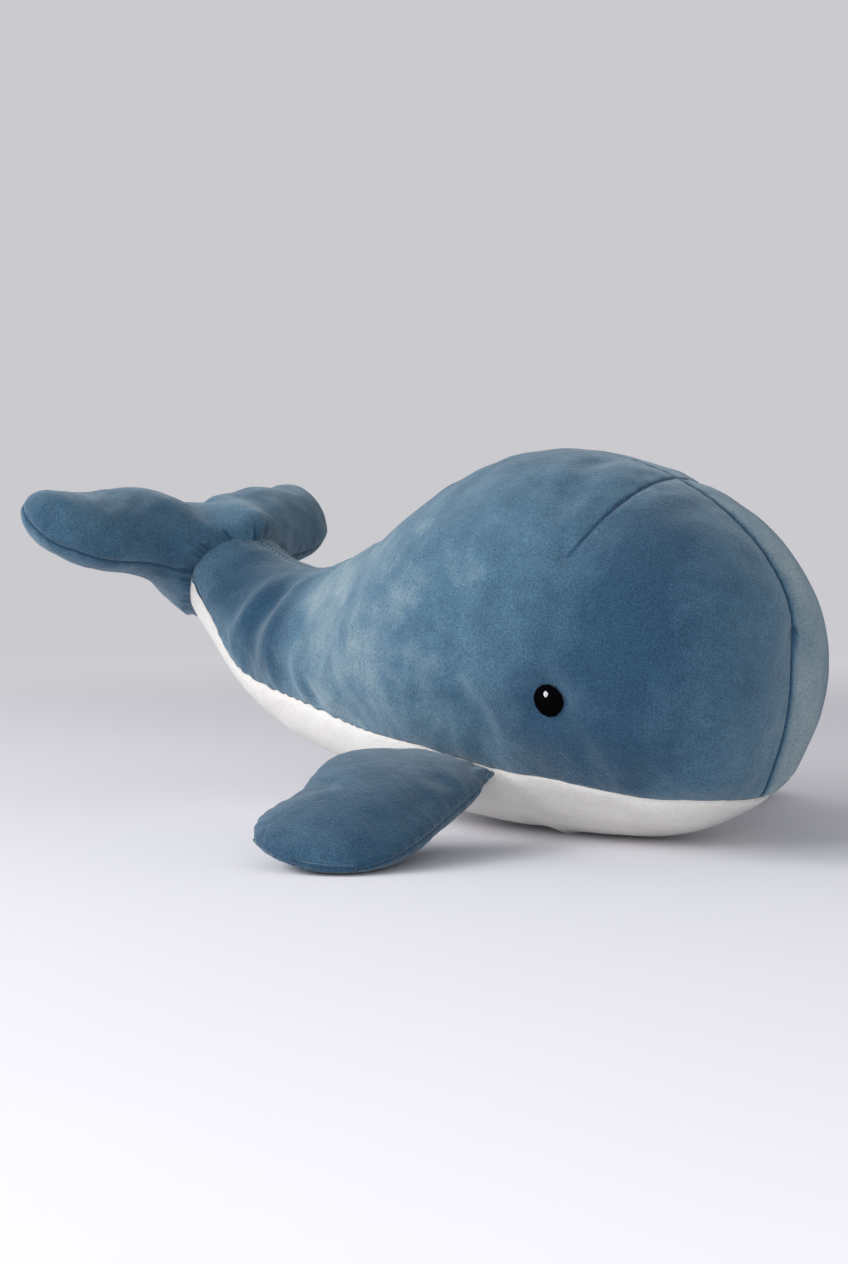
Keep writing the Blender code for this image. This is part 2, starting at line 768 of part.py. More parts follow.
def build():
    clear_scene()
    parts = new_collection("plush_whale")
    cutters = new_collection("cutters")
    finishes = {
        "blue": make_material("blue_plush", (0.060, 0.125, 0.200), 0.95),
        "white": make_material("white_plush", (0.700, 0.685, 0.670), 0.95),
        "filling": make_material("stuffing", (0.800, 0.790, 0.770), 1.00),
        "black": make_material("black_embroidery", (0.008, 0.008, 0.010), 0.55),
        "pale": make_material("white_embroidery", (0.750, 0.740, 0.730), 0.60),
    }
    panels = build_body(parts, cutters, finishes)
    for side, word in SIDE_NAMES.items():
        build_eye(side, panels["side_panel_" + word], parts, cutters, finishes)
        build_flipper(side, parts, cutters, finishes)
    build_fluke(parts, cutters, finishes)


build()
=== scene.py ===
# %% [markdown]
# # Dressing a stuffed toy whale
# The toy is cut from short plush: two blue side panels and a white belly round one bag of
# stuffing, two flippers sewn into the belly seam, and a fluke sewn to the end of the tail.
# The CAD model already holds the true size and the joints. Here each panel becomes soft cloth.
# A sculpted blob would look right from one side only, so every panel is its own piece.

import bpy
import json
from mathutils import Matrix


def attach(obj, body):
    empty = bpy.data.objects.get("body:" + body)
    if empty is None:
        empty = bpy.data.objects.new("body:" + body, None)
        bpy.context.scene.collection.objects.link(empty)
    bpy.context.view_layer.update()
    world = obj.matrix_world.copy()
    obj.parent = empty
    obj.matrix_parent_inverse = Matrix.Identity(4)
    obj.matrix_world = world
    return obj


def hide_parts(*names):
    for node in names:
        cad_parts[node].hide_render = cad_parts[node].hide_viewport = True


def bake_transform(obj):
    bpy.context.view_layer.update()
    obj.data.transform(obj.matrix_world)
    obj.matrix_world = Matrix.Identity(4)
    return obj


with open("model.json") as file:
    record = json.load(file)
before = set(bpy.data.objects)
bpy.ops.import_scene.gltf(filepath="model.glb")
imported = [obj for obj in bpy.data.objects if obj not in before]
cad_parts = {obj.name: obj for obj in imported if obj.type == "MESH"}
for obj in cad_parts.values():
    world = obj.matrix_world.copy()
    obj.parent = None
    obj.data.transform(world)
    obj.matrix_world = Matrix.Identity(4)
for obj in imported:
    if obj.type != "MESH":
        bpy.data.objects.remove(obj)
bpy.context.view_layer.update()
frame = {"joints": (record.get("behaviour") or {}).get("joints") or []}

# %% The modules of Blender that the lesson needs
import json
import math

import bmesh
import bpy
import numpy as np
from mathutils import Matrix, Vector, kdtree, noise

MM = 0.001
RIGHT = -1
LEFT = 1
SIDE_NAMES = {RIGHT: "right", LEFT: "left"}
hinges = {joint["name"]: joint for joint in frame["joints"]}

# %% [markdown]
# ## The form of the body
# The body is one smooth bag: a blunt head that thins into a tail stem, and the stem bends up to
# the fluke. It could be sculpted by hand, but then it would drift from the CAD. So the same few
# driving sizes are repeated here. A *place* runs from -1 at the nose over 0 at the largest
# section to 1 at the fluke, and a *turn* goes round a section from the middle of the back.

# %% Sizes of the body, in metres
HEAD_HEIGHT = 0.1805
HEAD_WIDTH = 0.161
NOSE_REACH = 0.1155
NOSE_HEIGHT = 0.100
CROWN_ROUNDNESS = 1.75
CHIN_ROUNDNESS = 3.1
CHEEK_ROUNDNESS = 2.6
STEM_REACH = 0.2205
STEM_RISE = 0.1145
STEM_HEIGHT = 0.054
STEM_WIDTH = 0.060
FLOOR_CUT = 0.0005
STEM_SHARES = (
    (0.200, 0.460, 0.921, 1.000),
    (0.555, 0.421, 0.609, 0.699),
    (0.776, 0.459, 0.458, 0.545),
    (0.904, 0.541, 0.359, 0.431),
)


# %% A smooth curve through a few rows of numbers
def smooth(knots, rows, places, first_slope=None):
    """A cubic curve through rows at knots, read at many places; its first slope may be given."""
    knots, rows = np.array(knots, float), np.array(rows, float)
    places = np.atleast_1d(np.array(places, float))
    step = np.diff(knots)
    rise = np.diff(rows, axis=0) / step[:, None]
    system, pull = np.eye(len(knots)), np.zeros_like(rows)
    for i in range(1, len(knots) - 1):
        system[i, i - 1:i + 2] = step[i - 1], 2 * (step[i - 1] + step[i]), step[i]
        pull[i] = 6 * (rise[i] - rise[i - 1])
    if first_slope is not None:
        system[0, :2] = 2 * step[0], step[0]
        pull[0] = 6 * (rise[0] - np.array(first_slope))
    bend = np.linalg.solve(system, pull)
    i = np.clip(np.searchsorted(knots, places, side="right") - 1, 0, len(step) - 1)
    far, gap = (places - knots[i])[:, None], step[i][:, None]
    near = gap - far
    curved = (bend[i] * near ** 3 + bend[i + 1] * far ** 3) / (6 * gap)
    return (curved + (rows[i] / gap - bend[i] * gap / 6) * near
            + (rows[i + 1] / gap - bend[i + 1] * gap / 6) * far)


# %% Sections of the body
stem_rows = [(0, HEAD_HEIGHT / 2 - FLOOR_CUT, HEAD_HEIGHT / 2, HEAD_WIDTH / 2)]
for reach, rise, height, width in STEM_SHARES:
    stem_rows.append((-reach * STEM_REACH, rise * HEAD_HEIGHT, height * HEAD_HEIGHT / 2,
                      width * HEAD_WIDTH / 2))
stem_rows.append((-STEM_REACH, STEM_RISE, STEM_HEIGHT / 2, STEM_WIDTH / 2))
stem_rows = np.array(stem_rows)
stem_knots = np.append(0, np.cumsum(np.hypot(*np.diff(stem_rows[:, :2], axis=0).T)))
STEM_LENGTH = stem_knots[-1]
NUDGE = 0.001
TINY = 1e-12


def rounded(share, power):
    """Height of a rounded quarter outline of size 1 at a share of its reach."""
    return (1 - np.minimum(np.abs(share), 1) ** power) ** (1 / power)


def sections(place):
    """Centre, upward direction, half height and half width of the body at many places."""
    top, bottom = HEAD_HEIGHT - FLOOR_CUT, -FLOOR_CUT
    high = NOSE_HEIGHT + (top - NOSE_HEIGHT) * rounded(place, CROWN_ROUNDNESS)
    low = NOSE_HEIGHT - (NOSE_HEIGHT - bottom) * rounded(place, CHIN_ROUNDNESS)
    none = np.zeros_like(place)
    head = np.stack([-place * NOSE_REACH, (high + low) / 2, none, none + 1, (high - low) / 2,
                     HEAD_WIDTH / 2 * rounded(place, CHEEK_ROUNDNESS)], 1)
    back = np.clip(place, NUDGE, 1)
    here = smooth(stem_knots, stem_rows, np.clip(place, 0, 1) * STEM_LENGTH, (-1, 0, 0, 0))
    near = smooth(stem_knots, stem_rows, (back - NUDGE) * STEM_LENGTH, (-1, 0, 0, 0))
    along = (smooth(stem_knots, stem_rows, back * STEM_LENGTH, (-1, 0, 0, 0)) - near)[:, :2]
    along /= np.linalg.norm(along, axis=1)[:, None]
    past = np.maximum(place - 1, 0)[:, None] * STEM_LENGTH
    stem = np.concatenate([here[:, :2] + along * past, along[:, 1:], -along[:, :1], here[:, 2:]], 1)
    row = np.where((place <= 0)[:, None], head, stem)
    centre = np.stack([row[:, 0], none, row[:, 1]], 1)
    return centre, np.stack([row[:, 2], none, row[:, 3]], 1), row[:, 4], row[:, 5]


def body_points(place, turn):
    """Points on the smooth body."""
    centre, up, height, width = sections(place)
    rise = (height * np.cos(turn))[:, None] * up
    return centre + rise + np.outer(width * np.sin(turn), (0, 1, 0))


def facing_out(normal, spare, outward):
    """Normals of length 1 that face outwards, or the spare one where a normal has no length."""
    length = np.linalg.norm(normal, axis=1)[:, None]
    normal = np.where(length > TINY, normal / np.maximum(length, TINY), spare)
    return normal * np.where((outward * normal).sum(1) < 0, -1, 1)[:, None]


def body_normals(place, turn):
    """Outward directions of the smooth body."""
    here = body_points(place, turn)
    normal = np.cross(body_points(place, turn + NUDGE) - here, body_points(place + NUDGE, turn) - here)
    return facing_out(normal, (1, 0, 0), here - sections(place)[0])


print("stem length", round(STEM_LENGTH, 4))

# %% [markdown]
# ## Seams of the body
# One seam runs over the middle of the whole toy, one runs round the white belly, and a dart in
# each cheek takes in the crown. A seam is a line in places and turns, so that everything that
# follows it can ask how far away it is: valleys, puckers, folds and stitches.

# %% Lines on the body
BELLY_SEAM_SHARES = (
    (-0.80, -0.936), (-0.735, -0.871), (-0.615, -0.795), (-0.51, -0.740), (-0.35, -0.685), (-0.17, -0.650),
    (0.00, -0.632), (0.21, -0.505), (0.45, -0.440), (0.74, -0.440), (0.83, -0.500), (0.90, -0.360),
    (1.00, -0.110),
)
DART_SHARES = ((-0.469, 1.000), (-0.437, 0.823), (-0.356, 0.526))
BELLY_FRONT = -0.80
BELLY_BOW, BELLY_BOW_REACH = 0.032, 0.05
# the belly seam sags where a flipper pulls on it, and is scalloped near the tail
FLIPPER_SAG, SAG_PLACE, SAG_REACH = 0.026, 0.11, 0.085
SCALLOP, SCALLOP_TURNS = 0.013, 190


def bell(far, reach):
    """1 at no distance, falling off smoothly over a reach."""
    return np.exp(-(far / reach) ** 2)


def fade(value, start, span):
    """0 up to the start, 1 once past the span, and even between them."""
    return np.clip((value - start) / span, 0, 1)


def belly_turn(place):
    """Turn of the belly seam at many places."""
    knots = [row[0] for row in BELLY_SEAM_SHARES]
    rises = [row[1:] for row in BELLY_SEAM_SHARES]
    rise = smooth(knots, rises, np.clip(place, knots[0], knots[-1]))[:, 0]
    rise -= FLIPPER_SAG * np.exp(-((place - SAG_PLACE) / SAG_REACH) ** 4)
    tail = fade(place, 0.3, 0.2) * fade(0.92 - place, 0, 0.1)
    rise += SCALLOP * np.sin(place * SCALLOP_TURNS + 3 * np.sin(place * 31)) * tail
    return np.arccos(np.clip(rise, -1, 1))


def front_bow(place, turn):
    """How far forward the rows bow under the chin, so that the belly ends in a rounded tongue."""
    edge = belly_turn(place)
    share = np.clip((math.pi - np.abs(turn)) / (math.pi - edge), 0, 1)
    return place - BELLY_BOW * (1 - share ** 2) * bell(place - BELLY_FRONT, BELLY_BOW_REACH)


def run_along(points):
    """How far along a line each of its points lies."""
    return np.append(0, np.cumsum(np.linalg.norm(np.diff(points, axis=0), axis=1)))


LINE_STEP = 0.5 * MM


def line_on_body(places, turns):
    """A dense line through rows of places and turns: its points, places, turns and run."""
    place, turn = np.array(places, float), np.array(turns, float)
    run = run_along(body_points(place, turn))
    marks = np.linspace(0, run[-1], int(run[-1] / LINE_STEP) + 2)
    place, turn = np.interp(marks, run, place), np.interp(marks, run, turn)
    return {"points": body_points(place, turn), "place": place, "turn": turn, "run": marks}


JOIN_BACK, JOIN_BOW = 1.5 * MM, 6.0 * MM


def join_place(turn):
    """The join seam isn't flat: over both shoulders of the stem it runs further back."""
    return 1 + (JOIN_BACK + JOIN_BOW * np.sin(np.clip(1.6 * np.abs(turn), 0, math.pi))) / STEM_LENGTH


def bowed(place, turn):
    """Rows of the stem that bow with the join seam as they come near it."""
    near = fade(place, 0.86, 0.14)
    return place + (join_place(turn) - 1) * near ** 2 * (3 - 2 * near)


dart_knots = [body_points(np.array([p]), np.array([math.acos(r)]))[0] for p, r in DART_SHARES]
dart_square = np.cross(dart_knots[1] - dart_knots[0], dart_knots[2] - dart_knots[0])
dart_square /= np.linalg.norm(dart_square)


def dart_places(turns):
    """Places where the dart's plane cuts the body at many turns."""
    low, high = np.full(len(turns), -0.60), np.full(len(turns), -0.20)
    sign = np.sign((body_points(low, turns) - dart_knots[0]) @ dart_square)
    for halving in range(30):
        middle = (low + high) / 2
        same = np.sign((body_points(middle, turns) - dart_knots[0]) @ dart_square) == sign
        low, high = np.where(same, middle, low), np.where(same, high, middle)
    return low


belly_tip = math.acos(BELLY_BOW - BELLY_FRONT)
ahead = -np.cos(np.linspace(belly_tip * 0.02, belly_tip, 60))
behind = np.linspace(-1, 1, 500)
aft = np.linspace(BELLY_FRONT, 1, 500)
tongue = np.linspace(0, 1, 40)
seams = {"centre": line_on_body(np.concatenate([ahead[::-1], behind]),
                                np.concatenate([ahead * 0 + math.pi, behind * 0]))}
for side, word in SIDE_NAMES.items():
    edge = belly_turn(np.array([BELLY_FRONT]))[0]
    front_turns = math.pi - (math.pi - edge) * tongue
    front_places = front_bow(tongue * 0 + BELLY_FRONT, front_turns)
    seams["belly_" + word] = line_on_body(
        np.concatenate([front_places, aft[1:]]), side * np.concatenate([front_turns, belly_turn(aft)[1:]]))
    dart_turns = np.linspace(0.02, math.acos(DART_SHARES[2][1]), 60)
    seams["dart_" + word] = line_on_body(dart_places(dart_turns), side * dart_turns)
round_turns = np.linspace(-math.pi, math.pi, 200)
seams["join"] = line_on_body(join_place(round_turns), round_turns)
for name, line in seams.items():
    print(name, "seam", round(line["run"][-1] / MM), "mm")


# %% How deep each seam lies
# depth and width of the valley, share and width of its soft dip, height of its puckers; in mm
SEAM_SHAPES = {
    "centre": (1.30, 0.9, 0.12, 4.0, 0.18),
    "dart": (1.60, 0.8, 0.10, 3.0, 0.25),
    "belly": (1.35, 1.1, 0.30, 5.0, 0.28),
    "join": (1.25, 1.1, 0.25, 4.5, 0.45),
}
SKIN_SLACK = 0.9 * MM


def seam_floor(name):
    """How far under the smooth body the bottom of a seam lies."""
    deep, soft = SEAM_SHAPES[name.split("_")[0]][0:3:2]
    return deep * (1 + soft) * MM + SKIN_SLACK


print("the belly seam lies", round(seam_floor("belly") / MM, 1), "mm deep")


# %% How far points are from a line
def tree_of(points):
    """A tree that finds the points near a place quickly."""
    tree = kdtree.KDTree(len(points))
    for i, point in enumerate(points):
        tree.insert(point, i)
    tree.balance()
    return tree


def nearest(points, targets):
    """Distance from each point to the nearest target, and that target's number."""
    tree = tree_of(targets)
    found = [tree.find(point)[1:] for point in points]
    return np.array([f[1] for f in found]), np.array([f[0] for f in found])


def rough(points, size, seed=0.0):
    """Smooth chance numbers from -1 to 1 whose lumps have that size; the same in every run."""
    shift = Vector((seed, 2 * seed, 3 * seed))
    return np.array([noise.noise(Vector(point) / size + shift) for point in points])


def lumps(points, rows):
    """Soft lumps of the stuffing; each row is a height and a size in mm, and a seed."""
    return sum(height * MM * rough(points, size * MM, seed) for height, size, seed in rows)


# %% [markdown]
# ## A ball as the start of every stuffed piece
# A stuffed piece is closed, so it starts from a ball of rows and columns, which bmesh makes.
# Each point is then moved to where its row and column lie on the real form. The columns crowd
# together towards a seam, because the valley along a seam is only a few millimetres wide.

# %% Make a ball and crowd its columns
def ball(columns, rows):
    """A ball with its poles on Z, with the row and the column of every point."""
    work = bmesh.new()
    bmesh.ops.create_uvsphere(work, u_segments=columns, v_segments=rows, radius=1)
    spots = np.array([v.co for v in work.verts])
    row = np.rint(np.arccos(np.clip(spots[:, 2], -1, 1)) / math.pi * rows).astype(int)
    column = np.rint(np.arctan2(spots[:, 1], spots[:, 0]) / math.tau * columns).astype(int) % columns
    return work, row, column


def crowded(share, squeeze=0.62):
    """Shares from 0 to 1 that lie closer together near both ends."""
    return share - squeeze * np.sin(math.tau * share) / math.tau


def face_outwards(work):
    """Turn the faces of a closed form outwards; flat ends can mislead the first step alone."""
    bmesh.ops.recalc_face_normals(work, faces=work.faces)
    if work.calc_volume(signed=True) < 0:
        bmesh.ops.reverse_faces(work, faces=work.faces[:])
    work.normal_update()


def move(work, points):
    """Put every vertex at its new point, with the faces outwards."""
    for vert, point in zip(work.verts, points):
        vert.co = point
    face_outwards(work)


# %% Rows and columns of the body, closest together towards the seams
SIDE_COLUMNS = 92
BELLY_COLUMNS = 40
COLUMNS = 2 * (SIDE_COLUMNS + BELLY_COLUMNS)
to_front = -np.cos(np.linspace(0, math.acos(-BELLY_FRONT), 22))
to_middle = -np.cos(np.linspace(math.acos(-BELLY_FRONT), math.pi / 2, 52)[1:])
to_join = 1 - (1 - np.linspace(0, 1, 122)[1:]) ** 1.12
past_join = 1 + np.array([1.2, 2.4, 4.0]) * MM / STEM_LENGTH
row_places = np.concatenate([to_front, to_middle, to_join, past_join])
row_places = np.append(row_places, row_places[-1])
FRONT_ROW = len(to_front) - 1
ROWS = len(row_places) - 1

body, row, column = ball(COLUMNS, ROWS)
place = row_places[row]
half = np.minimum(column, COLUMNS - column)
sign = np.where(column <= COLUMNS // 2, 1, -1)
edge = belly_turn(place)
turn = np.where(half <= SIDE_COLUMNS, edge * crowded(np.minimum(half / SIDE_COLUMNS, 1)),
                edge + (math.pi - edge) * crowded((half - SIDE_COLUMNS) / BELLY_COLUMNS)) * sign
place = bowed(front_bow(place, turn), turn)
points = body_points(place, turn)
last_pole = np.argmax(row)
points[last_pole] = sections(place[last_pole:last_pole + 1])[0][0]
move(body, points)
print("body ball", len(body.verts), "points")

# %% Mark the panels and cut the mesh along the darts
# cuts beside each dart, in mm, so that its valley has rows of its own
DART_CUTS = (-3.6, -2.2, -1.2, -0.5, 0, 0.5, 1.2, 2.2, 3.6)
place_layer = body.verts.layers.float.new("place")
turn_layer = body.verts.layers.float.new("turn")
for vert, p, t in zip(body.verts, place, turn):
    vert[place_layer] = p
    vert[turn_layer] = t
rows_of = dict(zip(body.verts, zip(row, half)))
for face in body.faces:
    spots = [rows_of[vert] for vert in face.verts]
    if max(r for r, h in spots) == ROWS:
        face.material_index = 3
    elif min(r for r, h in spots) >= FRONT_ROW and min(h for r, h in spots) >= SIDE_COLUMNS:
        face.material_index = 2
    else:
        face.material_index = 0 if face.calc_center_median().y < 0 else 1

for side in SIDE_NAMES:
    square = Vector(dart_square * (1, side, 1))
    origin = Vector(dart_knots[0] * (1, side, 1))
    for offset in DART_CUTS:
        zone = [f for f in body.faces if f.material_index == (side + 1) // 2
                and all(-0.56 < v[place_layer] < -0.28 and abs(v[turn_layer]) < 1.15 for v in f.verts)]
        near = set(zone) | {e for f in zone for e in f.edges} | {v for f in zone for v in f.verts}
        bmesh.ops.bisect_plane(body, geom=list(near), dist=1e-6, plane_co=origin + square * offset * MM,
                               plane_no=square)
place = np.array([v[place_layer] for v in body.verts])
turn = np.array([v[turn_layer] for v in body.verts])
print("after the darts", len(body.verts), "points")

# %% [markdown]
# ## Blowing up the cloth
# Stuffing presses the skin out everywhere, and seams hold it back. Blender's Cloth does just
# that: a coarse copy, a little too small, is blown up from inside with its seams pinned. Only
# the way each point moved is kept, and it is carried over to the fine mesh, which keeps its
# clean rows.

# %% Simulate a coarse copy
CLOTH_FRAMES = 20
CLOTH_PRESSURE = 4
MOST_MOVED = 6 * MM
MOST_BULGE = 1.2 * MM
SIDEWAYS_SHARE = 0.4


def add_object(name, data):
    """A new object in the scene."""
    item = bpy.data.objects.new(name, data)
    bpy.context.scene.collection.objects.link(item)
    return item


def as_it_is(item):
    """An object with its modifiers worked out."""
    return item.evaluated_get(bpy.context.evaluated_depsgraph_get())


def puffed(name, work, normals, line_points, small, voxel=5 * MM):
    """How each point of a closed form moves when its skin is blown up between pinned seams."""
    points = np.array([v.co for v in work.verts])
    mesh = bpy.data.meshes.new(name)
    start = work.copy()
    move(start, points - normals * small)
    start.to_mesh(mesh)
    start.free()
    skin = add_object(name, mesh)
    remesh = skin.modifiers.new("voxels", "REMESH")
    remesh.mode = "VOXEL"
    remesh.voxel_size = voxel
    coarse = bpy.data.meshes.new_from_object(as_it_is(skin))
    skin.modifiers.clear()
    skin.data = coarse
    before = np.array([v.co for v in coarse.vertices])
    pins = skin.vertex_groups.new(name="seams")
    for i, far in enumerate(nearest(before, line_points)[0]):
        pins.add([i], max(0, 1 - far / (2 * voxel)), "REPLACE")
    cloth = skin.modifiers.new("skin", "CLOTH").settings
    cloth.quality = 5
    cloth.mass = 0.3
    cloth.use_pressure = True
    cloth.uniform_pressure_force = CLOTH_PRESSURE
    cloth.vertex_group_mass = "seams"
    cloth.effector_weights.gravity = 0
    cloth.shrink_min = -0.015
    cloth.bending_stiffness = 0.3
    for step in range(1, CLOTH_FRAMES + 1):
        bpy.context.scene.frame_set(step)
    moved = np.array([v.co for v in as_it_is(skin).to_mesh().vertices]) - before
    bpy.data.objects.remove(skin)
    bpy.context.scene.frame_set(1)
    length = np.linalg.norm(moved, axis=1)
    moved *= (np.minimum(length, MOST_MOVED) / np.maximum(length, 1e-9))[:, None]
    tree = tree_of(before)
    carried = np.zeros_like(points)
    for i, point in enumerate(points - normals * small):
        found = tree.find_n(point, 8)
        weights = np.array([math.exp(-(far / voxel) ** 2) for spot, number, far in found]) + 1e-9
        carried[i] = weights @ moved[[number for spot, number, far in found]] / weights.sum()
    outward = (carried * normals).sum(1)
    scale = min(small / max(np.median(outward), 0.2 * small), 1.5)
    spread = np.round(np.percentile(outward / MM, (5, 50, 95)), 2)
    print(name, "skin", len(before), "points, moved out", spread)
    sideways = carried - normals * outward[:, None]
    outward = np.clip(outward * scale, -0.3 * small, small + MOST_BULGE)
    return sideways * SIDEWAYS_SHARE + normals * (outward - small)[:, None]


EYE_PLACE, EYE_RISE = -0.326, -0.2135
EYE_RADIUS = 7.3 * MM
EYE_DIP = 0.7 * MM


def eye_centre(side):
    return body_points(np.array([EYE_PLACE]), np.array([side * math.acos(EYE_RISE)]))[0]


normals = body_normals(place, turn)
all_seams = np.concatenate([line["points"] for line in seams.values()])
body_puff = puffed("body_skin", body, normals, all_seams[::4], SKIN_SLACK)
base = body_points(place, turn)
eye_far = np.minimum(*[np.linalg.norm(base - eye_centre(side), axis=1) for side in SIDE_NAMES])
# the move fades out beside the eyes, and most of it on the belly, which lies flat on the floor
away_from_eye = 1 - np.exp(-(eye_far / (13 * MM)) ** 4)[:, None]
calm = np.clip((np.abs(turn) - belly_turn(place)) / 0.25 + 0.2, 0, 0.85)[:, None]
kept = away_from_eye * (1 - calm)
body_puff = body_puff * kept - normals * SKIN_SLACK * (1 - kept)

# %% [markdown]
# ## Valleys, puckers and folds
# Along a seam the plush dips into a narrow valley and gathers into puckers. Where the tail bends
# up there is too much cloth on the inside of the bend, so it lies in crescent folds across the
# side. These could be bump in a material, but then they would vanish in the outline, so they
# move the mesh itself.

# %% Depth of seams and folds
# height and half width in mm, and the places and turns in degrees that the fold runs through
FOLDS = (
    (2.2, 6.5, ((0.797, 20), (0.797, 29), (0.801, 50), (0.811, 69), (0.813, 86), (0.807, 99),
                (0.795, 112))),
    (-2.9, 7.5, ((0.742, 24), (0.740, 33), (0.738, 54), (0.742, 67), (0.745, 79), (0.742, 94),
                 (0.735, 116))),
    (2.0, 6.2, ((0.690, 18), (0.688, 27), (0.690, 46), (0.678, 64), (0.682, 78), (0.682, 92),
                (0.684, 110))),
    (0.9, 2.6, ((0.658, 82), (0.657, 88), (0.654, 98), (0.652, 110))),
    (1.3, 4.6, ((0.570, 76), (0.564, 84), (0.555, 91), (0.552, 99), (0.546, 109), (0.542, 114))),
    (-1.3, 3.6, ((0.540, 92), (0.535, 99), (0.525, 105), (0.516, 114))),
    (0.6, 4.5, ((0.470, 48), (0.468, 70), (0.460, 96), (0.452, 112))),
    (-0.6, 4.0, ((0.430, 52), (0.428, 72), (0.424, 94), (0.418, 108))),
    (0.5, 4.5, ((0.385, 56), (0.382, 76), (0.380, 98))),
)


BODY_LUMPS = ((1.1, 46, 3), (0.45, 17, 7))


def valley(far, deep, narrow, soft, wide):
    """A sharp valley in a wider and softer dip, at distances from a seam."""
    return -deep * np.exp(-far / narrow) - soft * deep * bell(far, wide)


def puckers(far, run, points, high, apart, reach):
    """Small gathers across a seam, uneven along it."""
    wave = np.cos(math.tau * run / apart + 2.5 * rough(points, 14 * MM, 5))
    return high * wave * bell(far, reach) * (1 - np.exp(-far / (1.2 * MM))) * (
        0.65 + 0.6 * rough(points, 20 * MM, 9))


def body_relief(place, turn, base):
    """How far each point of the skin lies outside the smooth body, from seams and folds."""
    relief = np.zeros(len(base))
    gather = np.zeros(len(base))
    for name, line in seams.items():
        far, found = nearest(base, line["points"])
        run = line["run"][found]
        deep, narrow, soft, wide, high = np.array(SEAM_SHAPES[name.split("_")[0]]) * MM
        if name.startswith("dart"):
            deep = deep * fade(line["run"][-1] - run, 0, 14 * MM)
        if name == "centre":
            deep = deep * (1 - 0.35 * fade(place, 0.5, 0.15))
        if name.startswith("belly"):
            high = high + 0.45 * MM * fade(place, 0.45, 0.15)
        relief = np.minimum(relief, valley(far, deep, narrow, soft / MM, wide))
        gather += puckers(far, run, base, high, 8.5 * MM, 7 * MM)
    fold = np.zeros(len(base))
    for height, wide, spots in FOLDS:
        for side in SIDE_NAMES:
            line = line_on_body([p for p, t in spots], [side * math.radians(t) for p, t in spots])
            far, found = nearest(base, line["points"])
            ends = np.sin(math.pi * np.clip(line["run"][found] / line["run"][-1], 0.02, 0.98)) ** 0.6
            fold += height * MM * ends * bell(far, wide * MM)
    soft = lumps(base, BODY_LUMPS)
    near_seam = fade(-relief, 0, 1.5 * MM)
    swell = 2.0 * MM * bell((1 - place) * STEM_LENGTH, 14 * MM) * np.sin(turn) ** 2
    swell += 2.6 * MM * np.exp(-((place + 0.84) / 0.09) ** 2 - ((base[:, 2] - 24 * MM) / (13 * MM)) ** 2)
    return relief + gather + swell + (fold + soft) * (1 - near_seam)


def eye_dip(points):
    """The sewn eye holds the cheek flat under it."""
    dip = np.zeros(len(points))
    for side in SIDE_NAMES:
        far = np.linalg.norm(points - eye_centre(side), axis=1)
        dip -= EYE_DIP * bell(far, 11 * MM)
    return dip


FLOOR_GAP = 0.00005


def on_floor(points):
    """Cloth rests on the floor and never goes under it."""
    points = points.copy()
    points[:, 2] = np.maximum(points[:, 2], FLOOR_GAP)
    return points


stem_end = [i for i, v in enumerate(body.verts)
            if v[place_layer] >= row_places[-1] and len(v.link_edges) > 8]
base[stem_end] = sections(row_places[-1:])[0][0]
inside = fade((place - join_place(turn)) * STEM_LENGTH, 0, 4 * MM) * 3.2 * MM
relief = body_relief(place, turn, base) + eye_dip(base) - inside
skin_points = on_floor(base + body_puff + normals * relief[:, None])
move(body, skin_points)
print("folded body", np.round(skin_points.min(0), 4), np.round(skin_points.max(0), 4))


# %% [markdown]
# ## From skin to panels
# A panel is a piece of cloth with two sides and a cut edge, so a region of the skin is taken out
# and given a thickness inwards. Neighbouring panels then share their edge at the seam, and each
# mesh is closed.

# %% Take out a panel and give it a thickness
CLOTH = 1.8 * MM


def add_piece(name, work, material):
    """Turn a bmesh into a named piece of the toy with one material."""
    mesh = bpy.data.meshes.new(name)
    work.to_mesh(mesh)
    work.free()
    for polygon in mesh.polygons:
        polygon.use_smooth = True
        polygon.material_index = 0
    mesh.materials.append(material)
    piece = add_object(name, mesh)
    print(name, len(mesh.polygons), "faces")
    return piece


def panel(skin, number):
    """The faces of a skin with that number, as cloth with a thickness."""
    part = skin.copy()
    outward = part.verts.layers.float_vector.new("outward")
    for vert in part.verts:
        vert[outward] = vert.normal
    others = [face for face in part.faces if face.material_index != number]
    bmesh.ops.delete(part, geom=others, context="FACES")
    inner = bmesh.ops.extrude_face_region(part, geom=part.faces[:], use_keep_orig=True)
    for vert in inner["geom"]:
        if isinstance(vert, bmesh.types.BMVert):
            vert.co -= vert[outward] * CLOTH
    bmesh.ops.recalc_face_normals(part, faces=part.faces)
    return part


# %% [markdown]
# ## Finishes
# Short plush is a pile of fine hairs. Seen from afar it is matt, with a pale bloom where it is
# seen edge on, patches where the nap lies another way, and a fine grain. The bloom is the
# shader's sheen; the patches and the grain come from noise on the piece's own coordinates.
# Larger pale and deep spots come from a number stored on each skin, and many of them are
# painted light and painted shade.

# %% A helper that builds a material from nodes
def set_inputs(node, values):
    for name, value in values.items():
        node.inputs[name].default_value = value


def feed(tree, socket, value):
    """Link a socket to another one, or give it a value."""
    if isinstance(value, bpy.types.NodeSocket):
        tree.links.new(value, socket)
    else:
        socket.default_value = value


def math_node(tree, operation, first, second):
    node = tree.nodes.new("ShaderNodeMath")
    node.operation = operation
    for socket, value in zip(node.inputs, (first, second)):
        feed(tree, socket, value)
    return node.outputs[0]


